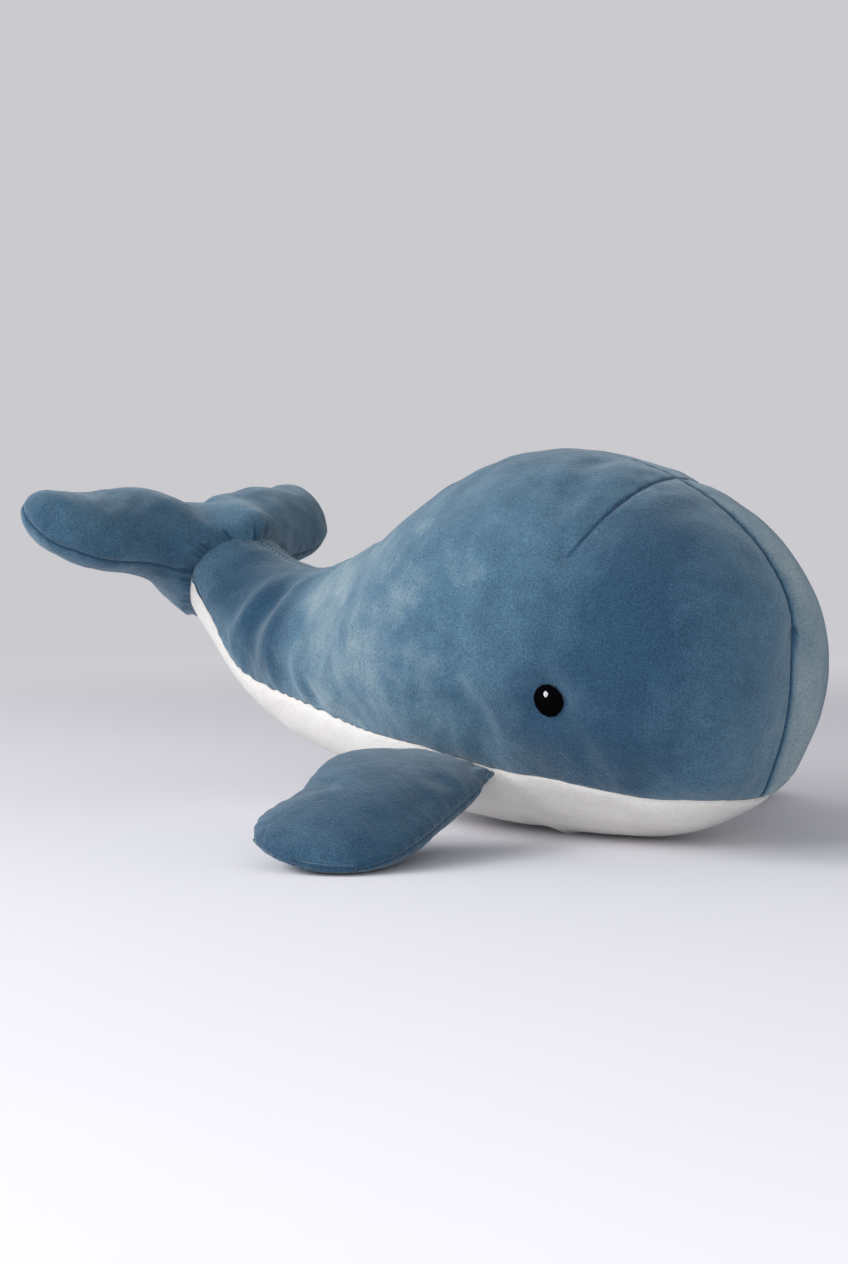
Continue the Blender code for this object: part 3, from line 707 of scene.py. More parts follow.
class Finish:
    """A material with the few kinds of node that the lesson needs."""

    def __init__(self, name):
        self.material = bpy.data.materials.new(name)
        self.material.use_nodes = True
        self.tree = self.material.node_tree
        self.nodes = self.tree.nodes
        self.shader = self.nodes["Principled BSDF"]
        self.spots = self.nodes.new("ShaderNodeTexCoord").outputs["Object"]

    def noise(self, scale, detail, roughness=0.5):
        texture = self.nodes.new("ShaderNodeTexNoise")
        set_inputs(texture, {"Scale": scale, "Detail": detail, "Roughness": roughness})
        self.tree.links.new(self.spots, texture.inputs["Vector"])
        return texture.outputs["Fac"]

    def ramp(self, source, stops):
        ramp = self.nodes.new("ShaderNodeValToRGB")
        while len(ramp.color_ramp.elements) < len(stops):
            ramp.color_ramp.elements.new(0.5)
        for element, (position, colour) in zip(ramp.color_ramp.elements, stops):
            element.position = position
            element.color = (*colour, 1)
        self.tree.links.new(source, ramp.inputs["Fac"])
        return ramp.outputs["Color"]

    def times(self, first, second):
        """One colour multiplied by another."""
        mix = self.nodes.new("ShaderNodeMix")
        mix.data_type = "RGBA"
        mix.blend_type = "MULTIPLY"
        sockets = {socket.identifier: socket for socket in mix.inputs}
        for name, value in (("Factor_Float", 1.0), ("A_Color", first), ("B_Color", second)):
            feed(self.tree, sockets[name], value)
        return next(s for s in mix.outputs if s.identifier == "Result_Color")

    def math(self, operation, first, second):
        return math_node(self.tree, operation, first, second)

    def bump(self, height, strength, distance):
        bump = self.nodes.new("ShaderNodeBump")
        set_inputs(bump, {"Strength": strength, "Distance": distance})
        self.tree.links.new(height, bump.inputs["Height"])
        self.tree.links.new(bump.outputs["Normal"], self.shader.inputs["Normal"])

    def paint(self, colour, values):
        self.tree.links.new(colour, self.shader.inputs["Base Color"])
        set_inputs(self.shader, values)


# %% Plush in a colour
PATCH_SIZE, SWIRL_SIZE, PILE_SIZE = 38, 120, 1300
PATCH_SHARE, SWIRL_SHARE, NAP_AND_LIGHT_SHARE, EVEN_SHARE = 0.26, 0.20, 0.20, 0.27


def plush(name, deep, middle, pale, sheen, patchy, speckled, bloom):
    """Three shades by the lie of the pile and by painted light and shade, specks of single hairs, and a
    pale bloom.
    """
    finish = Finish(name)
    nap_and_light_node = finish.nodes.new("ShaderNodeAttribute")
    nap_and_light_node.attribute_name = "nap_and_light"
    patch = finish.noise(PATCH_SIZE, 3, 0.55)
    swirl = finish.noise(SWIRL_SIZE, 3, 0.6)
    grain = finish.noise(PILE_SIZE, 2, 0.7)
    lie = finish.math("ADD", finish.math("MULTIPLY", patch, PATCH_SHARE),
                      finish.math("MULTIPLY", swirl, SWIRL_SHARE))
    # the stored attribute brings the lie of the pile together with painted light and shade
    lie = finish.math("ADD", lie, finish.math("MULTIPLY", nap_and_light_node.outputs["Fac"], NAP_AND_LIGHT_SHARE))
    lie = finish.math("ADD", lie, EVEN_SHARE)
    colour = finish.ramp(lie, ((0.5 - patchy, deep), (0.5, middle), (0.5 + patchy, pale)))
    specks = finish.ramp(grain, ((0.32, [1 - speckled] * 3), (0.68, [1 + speckled] * 3)))
    finish.paint(finish.times(colour, specks), {
        "Roughness": 0.95, "Specular IOR Level": 0.1, "Sheen Weight": sheen, "Sheen Roughness": 0.45,
        "Sheen Tint": (*bloom, 1)})
    height = finish.math("ADD", finish.math("MULTIPLY", grain, 0.8), finish.math("MULTIPLY", swirl, 1.0))
    finish.bump(height, 0.6, 1.2 * MM)
    return finish.material


blue = plush("blue plush", (0.020, 0.058, 0.106), (0.060, 0.128, 0.192), (0.215, 0.285, 0.315),
             0.40, 0.27, 0.40, (0.78, 0.92, 1.0))
white = plush("white plush", (0.66, 0.64, 0.615), (0.72, 0.705, 0.68), (0.76, 0.75, 0.73),
              0.10, 0.27, 0.09, (1.0, 0.97, 0.94))


# %% Stuffing and threads
def fibre(name, colour, other, scale, bump, sheen, shine=0.5):
    """Loose fibre or spun thread: a matt colour that varies, with a fine relief."""
    finish = Finish(name)
    strands = finish.noise(scale, 4, 0.65)
    finish.paint(finish.ramp(strands, ((0.3, colour), (0.7, other))), {
        "Roughness": 0.7, "Sheen Weight": sheen, "Specular IOR Level": shine})
    finish.bump(strands, bump, 0.4 * MM)
    return finish.material


filling = fibre("polyester fibre", (0.72, 0.71, 0.69), (0.86, 0.85, 0.83), 160, 0.8, 0.3)
black = fibre("black eye thread", (0.0006, 0.0006, 0.0008), (0.0025, 0.0025, 0.003), 1500, 0.3, 0.0, 0.0)
pale = fibre("white eye thread", (0.40, 0.40, 0.41), (0.62, 0.61, 0.62), 1500, 0.3, 0.1)
thread = fibre("blue sewing thread", (0.016, 0.045, 0.085), (0.030, 0.070, 0.120), 1500, 0.3, 0.1)
pale_thread = fibre("pale sewing thread", (0.24, 0.33, 0.38), (0.34, 0.43, 0.48), 1500, 0.3, 0.1)
print("finishes", sorted(m.name for m in bpy.data.materials))

# %% [markdown]
# The pile doesn't lie the same way all over. Where it was stroked up it looks pale, and where it
# lies down it looks deep. Each skin stores that as a number per point, which the plush reads as
# an attribute. The same number also carries painted light: painted shade on the back, the
# forehead, the cheeks and the tail, and painted sheen on the saddle, the flank, the far side of
# the brow, the middle of the fluke and the flipper tips. It follows the panels, so it stays in
# place when the toy bends.

# %% Which way the pile lies, and where light and shade are painted
# place and turn in degrees, reach in place and in turn, and how pale (+) or deep (-) it is;
# the pale spots paint sheen on the saddle and the flank, and the deep ones paint shade on the
# back, the forehead, the cheeks, the inside of the tail bend and the side of the stem
NAP_AND_LIGHT_SPOTS = (
    (0.53, 40, 0.12, 50, 0.6), (0.34, 62, 0.24, 46, 0.35), (0.02, 0, 0.34, 34, -1.3),
    (-0.64, 80, 0.28, 52, -1.7), (-0.20, 108, 0.22, 34, -1.0), (-0.42, 126, 0.20, 16, -1.8),
    (-0.62, 30, 0.22, 26, -0.6), (0.88, 10, 0.12, 70, -2.2), (0.70, 78, 0.09, 44, -1.9),
)
PARTED, PARTED_DEEP = 1.0 * MM, -2.4


def parted(points, targets):
    """Along a seam the pile parts and shows its deep ground."""
    return PARTED_DEEP * bell(nearest(points, targets)[0], PARTED)


def body_nap_and_light(place, turn, points):
    """Strokes of a hand on the flanks, large spots of painted sheen and painted shade, and a painted sheen
    on the far side of the brow.
    """
    turned = np.degrees(np.abs(turn))
    flank = 0.35 + 0.65 * fade(place, -0.30, 0.3) * fade(0.7 - place, 0, 0.2)
    nap_and_light = flank * (0.20 * np.tanh(3.2 * rough(points, 18 * MM, 31)) + 0.30 * rough(points, 8 * MM, 37))
    for spot, angle, wide, round_about, how in NAP_AND_LIGHT_SPOTS:
        nap_and_light += how * np.exp(-((place - spot) / wide) ** 2 - ((turned - angle) / round_about) ** 2)
    # painted sheen: the far side of the brow is made paler
    painted_brow_sheen = fade(points[:, 1], 0, 5 * MM) * bell(points[:, 1] - 16 * MM, 24 * MM)
    return nap_and_light + 1.2 * painted_brow_sheen * fade(-0.1 - place, 0, 0.3)


def keep_nap_and_light(work, nap_and_light):
    """Store the lie of the pile, with its painted light and shade, at every vertex."""
    layer = work.verts.layers.float.get("nap_and_light") or work.verts.layers.float.new("nap_and_light")
    for vert, value in zip(work.verts, nap_and_light):
        vert[layer] = value


nap_and_light = body_nap_and_light(place, turn, base) + parted(base, all_seams)
keep_nap_and_light(body, nap_and_light)
print("nap of the body from", round(nap_and_light.min(), 2), "to", round(nap_and_light.max(), 2))

# %% The panels of the body
body_pieces = [
    (add_piece("side_right", panel(body, 0), blue), "side_panel_right"),
    (add_piece("side_left", panel(body, 1), blue), "side_panel_left"),
    (add_piece("belly", panel(body, 2), white), "belly_panel"),
]

# %% [markdown]
# ## Flippers and fluke
# Both are flat bags of two panels, seamed round their edge. Their sections are flattened ovals
# along a span, from the same stations as in the CAD, and a turn of a quarter circle closes the
# last one in a round tip.

# %% A paddle from stations
FLIPPER_LENGTH = 0.1195
FLIPPER_CHORD = 0.070
FLIPPER_THICKNESS = 0.028
FLIPPER_ROOT_THICKNESS = 0.0044
FLIPPER_ROOT_SHARES = (0.012, 0.213)
FLIPPER_SPAN = (0.115967, -0.949862, -0.290368)
FLIPPER_SHARES = (
    (0.140, -0.033, 0.830, 0.640),
    (0.343, -0.064, 0.955, 1.000),
    (0.700, -0.079, 0.970, 0.870),
    (0.905, -0.090, 0.765, 0.460),
    (1.000, -0.067, 0.000, 0.000),
)
FLUKE_HALF_SPAN = 0.108
FLUKE_CHORD = 0.092
FLUKE_THICKNESS = 0.0514
FLUKE_SHARES = (
    (0.00, -0.457, 0.565, 1.000, 0.50),
    (0.15, -0.240, 0.625, 0.975, 0.32),
    (0.30, -0.005, 0.675, 0.880, 0.16),
    (0.46, 0.110, 0.690, 0.790, 0.08),
    (0.69, 0.160, 0.700, 0.660, 0.03),
    (0.87, 0.255, 0.745, 0.520, 0.00),
    (1.00, 0.560, 0.560, 0.000, 0.00),
)


class Paddle:
    """Rounded sections along a span, in a frame of its own."""

    def __init__(self, origin, span, chord, length, stations, mirrored):
        self.origin, self.span, self.chord = np.array(origin), np.array(span), np.array(chord)
        self.normal = np.cross(self.chord, self.span)
        self.normal *= np.sign(self.normal[2])
        self.length, self.mirrored = length, mirrored
        self.turns = [math.asin(row[0]) for row in stations]
        self.rows = [row[1:] for row in stations]

    def local(self, turn, angle):
        """Reach, distance along the chord and rise of many points."""
        first = (0, 0, 0, 0) if self.mirrored else None
        rows = smooth(self.turns, self.rows, np.clip(np.abs(turn), 0, math.pi / 2), first)
        lead, trail, half, shift = rows.T
        along = (lead + trail) / 2 + (trail - lead) / 2 * np.cos(angle)
        return self.length * np.sin(turn), along, half * np.sin(angle) * (1 - shift * np.cos(angle))

    def points(self, turn, angle):
        reach, along, rise = self.local(turn, angle)
        return (self.origin + np.outer(reach, self.span) + np.outer(along, self.chord)
                + np.outer(rise, self.normal))

    def normals(self, turn, angle):
        step = np.where(turn > 0, -NUDGE, NUDGE)
        here = self.points(turn, angle)
        normal = np.cross(self.points(turn, angle + NUDGE) - here, self.points(turn + step, angle) - here)
        tips = np.outer(np.sign(turn), self.span)
        centre = (self.points(turn, angle * 0) + self.points(turn, angle * 0 + math.pi)) / 2
        return facing_out(normal, tips, here - centre)


# %% [markdown]
# The fluke is one bag from tip to tip. The end of the stem goes into its front, so everything
# ahead of the join is cut away, and what is left there sinks under the skin of the stem.

# %% The fluke
join_centre, join_up, join_height, join_width = [v[0] for v in sections(np.array([1.0]))]
join_along = np.array((-join_up[2], 0, join_up[0]))
stations = [(reach, lead * FLUKE_CHORD, trail * FLUKE_CHORD, thick * FLUKE_THICKNESS / 2, shift)
            for reach, lead, trail, thick, shift in FLUKE_SHARES]
fluke = Paddle(join_centre, (0, 1, 0), join_along, FLUKE_HALF_SPAN, stations, True)
FLUKE_COLUMNS, FLUKE_ROWS = 104, 150


def edge_line(paddle, low):
    """The seam round a paddle's edge, from dense points."""
    turns = np.linspace(low, math.pi / 2, 300)
    front, back = paddle.points(turns, turns * 0 + math.pi), paddle.points(turns, turns * 0)
    points = np.concatenate([front, back[::-1]])
    return {"points": points, "run": run_along(points), "turn": np.concatenate([turns, turns[::-1]]),
            "angle": np.concatenate([turns * 0 + math.pi, turns * 0])}


def paddle_grid(columns, rows, low):
    """A ball whose rows are turns from the low one to the tip, crowded towards the edges."""
    work, row, column = ball(columns, rows)
    half = np.minimum(column, columns - column) / (columns / 2)
    angle = math.pi * crowded(half, 0.5) * np.where(column <= columns // 2, 1, -1)
    turn = low + (math.pi / 2 - low) * row / rows
    return work, turn, angle


PADDLE_LUMPS = ((0.9, 34, 13), (0.45, 15, 17))


def paddle_relief(points, line, deep, high):
    """Valley and puckers at the edge seam, and lumps away from it."""
    far, found = nearest(points, line["points"])
    return (valley(far, deep, 1.1 * MM, 0.25, 4 * MM) + lumps(points, PADDLE_LUMPS) * fade(far, 0, 6 * MM)
            + puckers(far, line["run"][found], points, high, 8 * MM, 8 * MM))


def mark_sides(skin, angles):
    """Faces of the upper panel get number 0, and those of the lower panel number 1."""
    angle_of = dict(zip(skin.verts, angles))
    for face in skin.faces:
        middle = sum(math.sin(angle_of[v]) for v in face.verts)
        face.material_index = 0 if middle > 0 else 1


def two_panels(skin, name):
    """The upper and the lower panel of a bag, each with the CAD node that it stands for."""
    return [(add_piece(name + word, panel(skin, number), blue), name + word + "_panel")
            for number, word in enumerate(("_top", "_bottom"))]


fluke_skin, turn_f, angle_f = paddle_grid(FLUKE_COLUMNS, FLUKE_ROWS, -math.pi / 2)
# how far the fluke is lifted, in mm, at distances in mm from its middle
LIFT = ((0, 0), (22, 0.2), (39, 1.2), (73, -0.6), (95, -1.6), (103, -3.6), (108, -4.2))
# behind the join the stuffing crowds into a cushion: mm along the fluke, share of its height
CUSHION = ((-2, 0), (3, 0.55), (9, 0.95), (24, 1), (40, 0.6), (58, 0))
CUSHION_HEIGHT = 12 * MM
CUSHION_REACH = {RIGHT: 13 * MM, LEFT: 17 * MM}


def fluke_points(turn, angle):
    """The fluke with its wavy lift, the cushion in its middle and its far lobe drawn up and in."""
    points = fluke.points(turn, angle)
    lift = np.interp(np.abs(points[:, 1]) / MM, [r[0] for r in LIFT], [r[1] for r in LIFT]) * MM
    along = (points - join_centre) @ join_along / MM
    across = points[:, 1] / np.where(points[:, 1] < 0, CUSHION_REACH[RIGHT], CUSHION_REACH[LEFT])
    above = np.maximum(np.sin(angle), 0) ** 0.7 * bell(across, 1)
    far_lobe = fade(points[:, 1], 40 * MM, 40 * MM)
    lift += 4.0 * MM * far_lobe
    lift -= 2.6 * MM * bell(points[:, 1] - 31 * MM, 11 * MM)
    lift -= 2.4 * MM * bell(points[:, 1] + 20 * MM, 13 * MM)
    points[:, 1] -= 6.0 * MM * far_lobe
    lift += CUSHION_HEIGHT * above * np.interp(along, [r[0] for r in CUSHION], [r[1] for r in CUSHION])
    return points + np.outer(lift, fluke.normal)


BAG_SLACK, BAG_VOXEL = 0.8 * MM, 4 * MM
fluke_edge = edge_line(fluke, -math.pi / 2)
fluke_edge["points"] = fluke_points(fluke_edge["turn"], fluke_edge["angle"])
base_f = fluke_points(turn_f, angle_f)
normals_f = fluke.normals(turn_f, angle_f)
move(fluke_skin, base_f)
fluke_puff = puffed("fluke_skin", fluke_skin, normals_f, fluke_edge["points"][::3], BAG_SLACK, BAG_VOXEL)


def under_stem(points):
    """Ahead of the join the fluke sinks under the skin of the stem."""
    local = points - join_centre
    along, rise = local @ join_along, local @ join_up
    wide, high = local[:, 1] / join_width, rise / join_height
    share = np.hypot(wide, high)
    behind = along - (join_place(np.arctan2(wide, high)) - 1) * STEM_LENGTH
    most = 1 + np.minimum(behind + 0.4 * MM, 0) / (16 * MM)
    near_stem = np.clip((1.45 - share) / 0.25, 0, 1)
    factor = np.where(behind < 0, 1 + (np.minimum(most / np.maximum(share, 1e-6), 1) - 1) * near_stem, 1)
    shrunk = join_centre + np.outer(along, join_along) + np.outer(rise * factor, join_up)
    shrunk[:, 1] = local[:, 1] * factor
    return shrunk


def fluke_dip(points):
    """The valley of the join seam, as the fluke's skin sees it."""
    far = nearest(points, seams["join"]["points"])[0]
    return valley(far, 0.8 * MM, 1.1 * MM, 0.15, 4 * MM)


relief = np.minimum(paddle_relief(base_f, fluke_edge, 1.0 * MM, 0.35 * MM), fluke_dip(base_f))
fluke_shape = under_stem(base_f + fluke_puff + normals_f * relief[:, None])
move(fluke_skin, fluke_shape)
fluke_nap_and_light = parted(base_f, fluke_edge["points"]) + parted(fluke_shape, seams["join"]["points"])
fluke_nap_and_light += 0.4 * rough(base_f, 36 * MM, 41) + 0.3 * rough(base_f, 16 * MM, 43)
# the whole fluke lies a little deeper, and a painted sheen makes the hump in its middle paler
keep_nap_and_light(fluke_skin, fluke_nap_and_light - 0.65 + 0.6 * bell(base_f[:, 1], 26 * MM))
mark_sides(fluke_skin, angle_f)


def cut_away(work, origin, direction):
    """Cut off what lies before a plane that faces that direction."""
    bmesh.ops.bisect_plane(work, geom=work.verts[:] + work.edges[:] + work.faces[:], dist=1e-6,
                           plane_co=Vector(origin), plane_no=Vector(direction), clear_inner=True)


cut_away(fluke_skin, join_centre - join_along * 5.5 * MM, join_along)
fluke_pieces = two_panels(fluke_skin, "fluke")

# %% [markdown]
# A flipper lies on the floor and its far edge is pushed into waves, and below the near edge the
# lower panel bulges. Both are small moves of the points, in the flipper's own directions.

# %% The flippers
# share of the length and how far the rear edge stands out there, in mm
EDGE_WAVES = ((0, 0), (0.10, 0), (0.17, -1.0), (0.23, 4.2), (0.29, 5.8), (0.39, 3.2),
              (0.49, -0.6), (0.58, -3.2), (0.68, -1.2), (0.78, 0.6), (0.90, -0.2), (1, 0))
BELLY_BULGE = 3.0 * MM
FRONT_SWELL = 2.5 * MM
# the left flipper's front corner is pushed back under the toy
LEFT_TUCK = 8.0 * MM
ROOT_TUCK = 2.5 * MM


def flipper_points(paddle, turn, angle):
    """The flipper with waves in its rear edge, a bulge under its front edge and a swollen front."""
    reach = np.sin(np.clip(turn, 0, math.pi / 2))
    waves = smooth([r[0] for r in EDGE_WAVES], [r[1:] for r in EDGE_WAVES], reach)[:, 0] * MM
    waves *= (0.5 + 0.5 * np.cos(angle)) ** 1.5
    bulge = BELLY_BULGE * np.maximum(-np.sin(angle), 0) * (0.5 - 0.5 * np.cos(angle)) ** 0.5
    bulge *= fade(reach, 0, 0.15) * fade(0.95 - reach, 0, 0.35)
    front = FRONT_SWELL * fade(reach, 0.25, 0.3) * fade(1 - reach, 0, 0.08)
    if paddle.span[1] > 0:
        front -= LEFT_TUCK * fade(reach, 0.45, 0.4)
    front *= (0.5 - 0.5 * np.cos(angle)) ** 1.5
    return (paddle.points(turn, angle) + np.outer(front - waves, paddle.chord)
            - np.outer(bulge, paddle.normal))


flippers = {}
for side, word in SIDE_NAMES.items():
    name = "flipper_" + word
    hinge = hinges[name + "_flap"]
    origin = np.array(hinge["pos_m"], float)
    chord = np.array(hinge["axis"], float)
    chord *= np.sign(chord[0])
    span = np.array(FLIPPER_SPAN) * (1, -side, 1)
    fronts = np.array(FLIPPER_ROOT_SHARES)
    ends = body_points(fronts, side * belly_turn(fronts))
    root_chord = (ends[0] - ends[1]) @ chord
    stations = [(0, root_chord / 2, -root_chord / 2, FLIPPER_ROOT_THICKNESS / 2, 0)]
    for reach, middle, size, thick in FLIPPER_SHARES:
        middle = middle * FLIPPER_LENGTH
        size = size * FLIPPER_CHORD / 2
        stations.append((reach, middle + size, middle - size, thick * FLIPPER_THICKNESS / 2, 0))
    flipper = Paddle(origin, span, chord, FLIPPER_LENGTH, stations, False)
    skin, turn_p, angle_p = paddle_grid(88, 84, 0)
    base_p = flipper_points(flipper, turn_p, angle_p)
    far_root = flipper.length * np.sin(turn_p)
    tuck = np.clip(1 - far_root / (4 * MM), 0, 1) ** 2 * ROOT_TUCK
    base_p -= np.outer(tuck, span)
    base_p[turn_p < 1e-6] = origin - span * ROOT_TUCK
    normals_p = flipper.normals(np.maximum(turn_p, 0.004), angle_p)
    move(skin, base_p)
    line = edge_line(flipper, 0)
    line["points"] = flipper_points(flipper, line["turn"], line["angle"])
    puff = puffed(name + "_skin", skin, normals_p, line["points"][::3], BAG_SLACK, BAG_VOXEL)
    relief = paddle_relief(base_p, line, 1.2 * MM, 0.35 * MM) * fade(far_root, 0, 6 * MM)
    gathers = np.cos(math.tau * ((base_p - origin) @ chord) / (9 * MM))
    relief += 0.7 * MM * gathers * bell(far_root - 5 * MM, 5 * MM)
    moved = base_p + puff * fade(far_root, 0, 8 * MM)[:, None] + normals_p * relief[:, None]
    move(skin, on_floor(moved))
    nap_and_light = parted(base_p, line["points"]) - 1.4
    nap_and_light += 0.4 * rough(base_p, 34 * MM, 47) + 0.25 * rough(base_p, 15 * MM, 53)
    # the flipper is deeper all over, and paler towards its tip, where the pale is a painted sheen
    keep_nap_and_light(skin, nap_and_light + 0.5 * np.clip(far_root / flipper.length - 0.6, 0, 1))
    mark_sides(skin, angle_p)
    flippers[side] = {"paddle": flipper, "line": line, "pieces": two_panels(skin, name)}
    skin.free()

# %% [markdown]
# ## Stuffing
# Nothing of the fibre shows, but the toy is not hollow: each bag holds its own loose stuffing, a
# few millimetres smaller than the skin, with soft lumps of its own.

# %% Stuffing of each bag
INSET = 7.5 * MM
STEM_END = 0.975
HEAD_SHARE = 0.36
END_GAP = 0.06
STUFFING_LUMPS = ((0.8, 16, 21),)


def lumpy(points, normals, inset):
    """Points drawn in by an inset that isn't even."""
    return points - normals * (inset + lumps(points, STUFFING_LUMPS))[:, None]


def bag_stuffing(paddle, form, grid, high, shrink, inset):
    """The inside of a flat bag: its form drawn in towards the middle of each section."""
    work, turns, angles = paddle_grid(*grid)
    turns = np.minimum(turns, high)
    points = form(turns, angles)
    middle = (form(turns, angles * 0) + form(turns, angles * 0 + math.pi)) / 2
    points = middle + (points - middle) * shrink - np.outer(
        (points - paddle.origin) @ paddle.span * END_GAP, paddle.span)
    middle -= np.outer((middle - paddle.origin) @ paddle.span * END_GAP, paddle.span)
    for pole in (np.argmin(turns), np.argmax(turns)):
        points[pole] = middle[pole]
    move(work, lumpy(points, paddle.normals(turns, angles), inset))
    return work


work, row, column = ball(72, 60)
share = row / 60
to_head = -np.cos(np.minimum(share / HEAD_SHARE, 1) * math.pi / 2)
to_stem = (share - HEAD_SHARE) / 0.64 * STEM_END
place_s = np.where(share < HEAD_SHARE, to_head, to_stem)
turn_s = math.tau * column / 72
points = lumpy(body_points(place_s, turn_s), body_normals(place_s, turn_s), INSET)
points[np.argmax(row)] = sections(np.array([STEM_END]))[0][0]
points[:, 2] = np.maximum(points[:, 2], INSET / 2)
move(work, points)
stuffing_body = add_piece("body_stuffing", work, filling)

quarter = math.pi / 2
work = bag_stuffing(fluke, fluke_points, (48, 50, -quarter + 0.22), quarter - 0.22, 0.80, 0.5 * MM)
cut_away(work, join_centre + join_along * 1.5 * MM, join_along)
bmesh.ops.holes_fill(work, edges=[e for e in work.edges if e.is_boundary], sides=0)
face_outwards(work)
stuffing_fluke = add_piece("fluke_stuffing", work, filling)

for side, word in SIDE_NAMES.items():
    flipper = flippers[side]["paddle"]
    work = bag_stuffing(flipper, flipper.points, (40, 32, 0.10), quarter - 0.15, 0.76, 0.3 * MM)
    flippers[side]["stuffing"] = add_piece("flipper_" + word + "_stuffing", work, filling)

# %% [markdown]
# ## Eyes
# An eye is embroidered: satin stitches side by side over a low dome, black, with a small pale
# oval of shorter stitches near its top. Each stitch is a thin grain that dives into the cloth at
# both ends and bends over the dome.

# %% Satin stitches over a dome
def eye_frame(side):
    """Z stands out of the cheek and Y points up."""
    place, turn = np.array([EYE_PLACE]), np.array([side * math.acos(EYE_RISE)])
    outward = Vector(body_normals(place, turn)[0])
    up = (Vector((0, 0, 1)) - outward * outward.z).normalized()
    frame_of_eye = Matrix((up.cross(outward), up, outward)).transposed().to_4x4()
    return Matrix.Translation(Vector(body_points(place, turn)[0]) - outward * 0.7 * MM) @ frame_of_eye


def satin(name, side, wide, high, centre, crown, lift, thick, apart, slant, material):
    """Stitches side by side over an oval, bent over a dome of that crown."""
    work = bmesh.new()
    count = int(2 * wide / apart)
    lay = Matrix.Rotation(slant, 4, "Z")
    for i in range(count):
        across = (i + 0.5) / count * 2 - 1
        reach = high * math.sqrt(max(1 - across ** 2, 0.02)) * (1 + 0.05 * math.sin(7.3 * i))
        shape = Matrix.Diagonal((thick * 1.25, reach, thick, 1))
        place = lay @ Matrix.Translation((across * wide, 0.02 * high * math.sin(5.1 * i), 0))
        poles = Matrix.Rotation(math.pi / 2, 4, "X")
        bmesh.ops.create_uvsphere(work, u_segments=6, v_segments=14, radius=1, matrix=place @ shape @ poles)
    base_shape = Matrix.Diagonal((wide * 0.97, high * 0.97, thick, 1))
    bmesh.ops.create_uvsphere(work, u_segments=40, v_segments=16, radius=1, matrix=lay @ base_shape)
    for vert in work.verts:
        share = min((vert.co.x / wide) ** 2 + (vert.co.y / high) ** 2, 1.2)
        vert.co.z += crown * (1 - share) + lift
        vert.co.x += centre[0]
        vert.co.y += centre[1]
    bmesh.ops.recalc_face_normals(work, faces=work.faces)
    work.transform(eye_frame(side))
    return add_piece(name, work, material)


eyes = {}
for side, word in SIDE_NAMES.items():
    eye = satin("eye_thread_" + word, side, EYE_RADIUS, EYE_RADIUS * 1.03, (0, 0), 1.9 * MM,
                0.1 * MM, 0.36 * MM, 0.52 * MM, 0.12 * side, black)
    light = satin("highlight_thread_" + word, side, 1.15 * MM, 1.75 * MM, (0, 3.0 * MM), 0.35 * MM,
                  1.74 * MM, 0.26 * MM, 0.42 * MM, 0, pale)
    eyes[side] = [(eye, "eye_" + word), (light, "eye_highlight_" + word)]

# %% [markdown]
# ## Sewing thread
# The seams are sewn from inside, so little thread shows, but it does where the pile parts over
# the crown and along the belly. Each stitch is one small grain with few faces, set end to end
# along the floor of the valley.

# %% Stitches along a seam
STITCH_APART = 3.2 * MM
STITCH_SHARE = 0.34
STITCH_THICK = 0.26 * MM


def stitches(name, points, normals, deep, material=thread, apart=STITCH_APART):
    """Small grains end to end along a line, that far under it."""
    run = run_along(points)

    def read(values, mark):
        return np.array([np.interp(mark, run, values[:, k]) for k in range(3)])

    work = bmesh.new()
    lay = Matrix.Rotation(math.pi / 2, 4, "Y")
    shape = Matrix.Diagonal((apart * STITCH_SHARE, STITCH_THICK, STITCH_THICK, 1))
    for mark in np.arange(apart, run[-1] - apart, apart):
        spot = read(points, mark)
        out = Vector(read(normals, mark)).normalized()
        along = Vector(read(points, mark + apart / 2) - spot).normalized()
        across = out.cross(along).normalized()
        turn_to = Matrix((along, across, along.cross(across))).transposed().to_4x4()
        middle = Vector(spot) - out * deep
        middle.z = max(middle.z, 2 * STITCH_THICK)
        bmesh.ops.create_uvsphere(work, u_segments=6, v_segments=4, radius=1,
                                  matrix=Matrix.Translation(middle) @ turn_to @ shape @ lay)
    bmesh.ops.recalc_face_normals(work, faces=work.faces)
    return add_piece(name, work, material)


bent_threads = []
for name, line in seams.items():
    out = body_normals(line["place"], line["turn"])
    line_points = line["points"]
    if name == "centre":
        back = (line["place"] > 0.62) & (np.abs(line["turn"]) < 1)
        bent_threads.append(stitches("back_stitches", line_points[back], out[back],
                                     seam_floor(name) - 0.95 * MM, pale_thread, 2.6 * MM))
        line_points, out = line_points[~back], out[~back]
    # stitches under the toy are lifted off the floor, and those of the belly seam lie deeper
    sewn = on_floor(line_points) + np.array((0, 0, 0.6 * MM)) * (line_points[:, 2:] < 1 * MM)
    hidden = 0.5 * MM if name.startswith("belly") else -0.25 * MM
    bent_threads.append(stitches(name + "_stitches", sewn, out, seam_floor(name) + hidden))

out = fluke.normals(fluke_edge["turn"], fluke_edge["angle"])
sewn = stitches("fluke_edge_stitches", fluke_edge["points"][5:-5], out[5:-5], 2.1 * MM)
edge_threads = [(sewn, "fluke")]
for side, word in SIDE_NAMES.items():
    line = flippers[side]["line"]
    out = flippers[side]["paddle"].normals(np.maximum(line["turn"], 0.01), line["angle"])
    sewn = stitches("flipper_" + word + "_stitches", line["points"][25:-25], out[25:-25], 2.2 * MM)
    edge_threads.append((sewn, "flipper_" + word))

# %% [markdown]
# ## Bodies and joints
# Each piece of the fluke, the flippers and the eyes rides on the body that carries it. The skin
# of the stem crosses the fluke's hinge; the side panels, the belly, their stuffing and their
# stitches stay where they are.

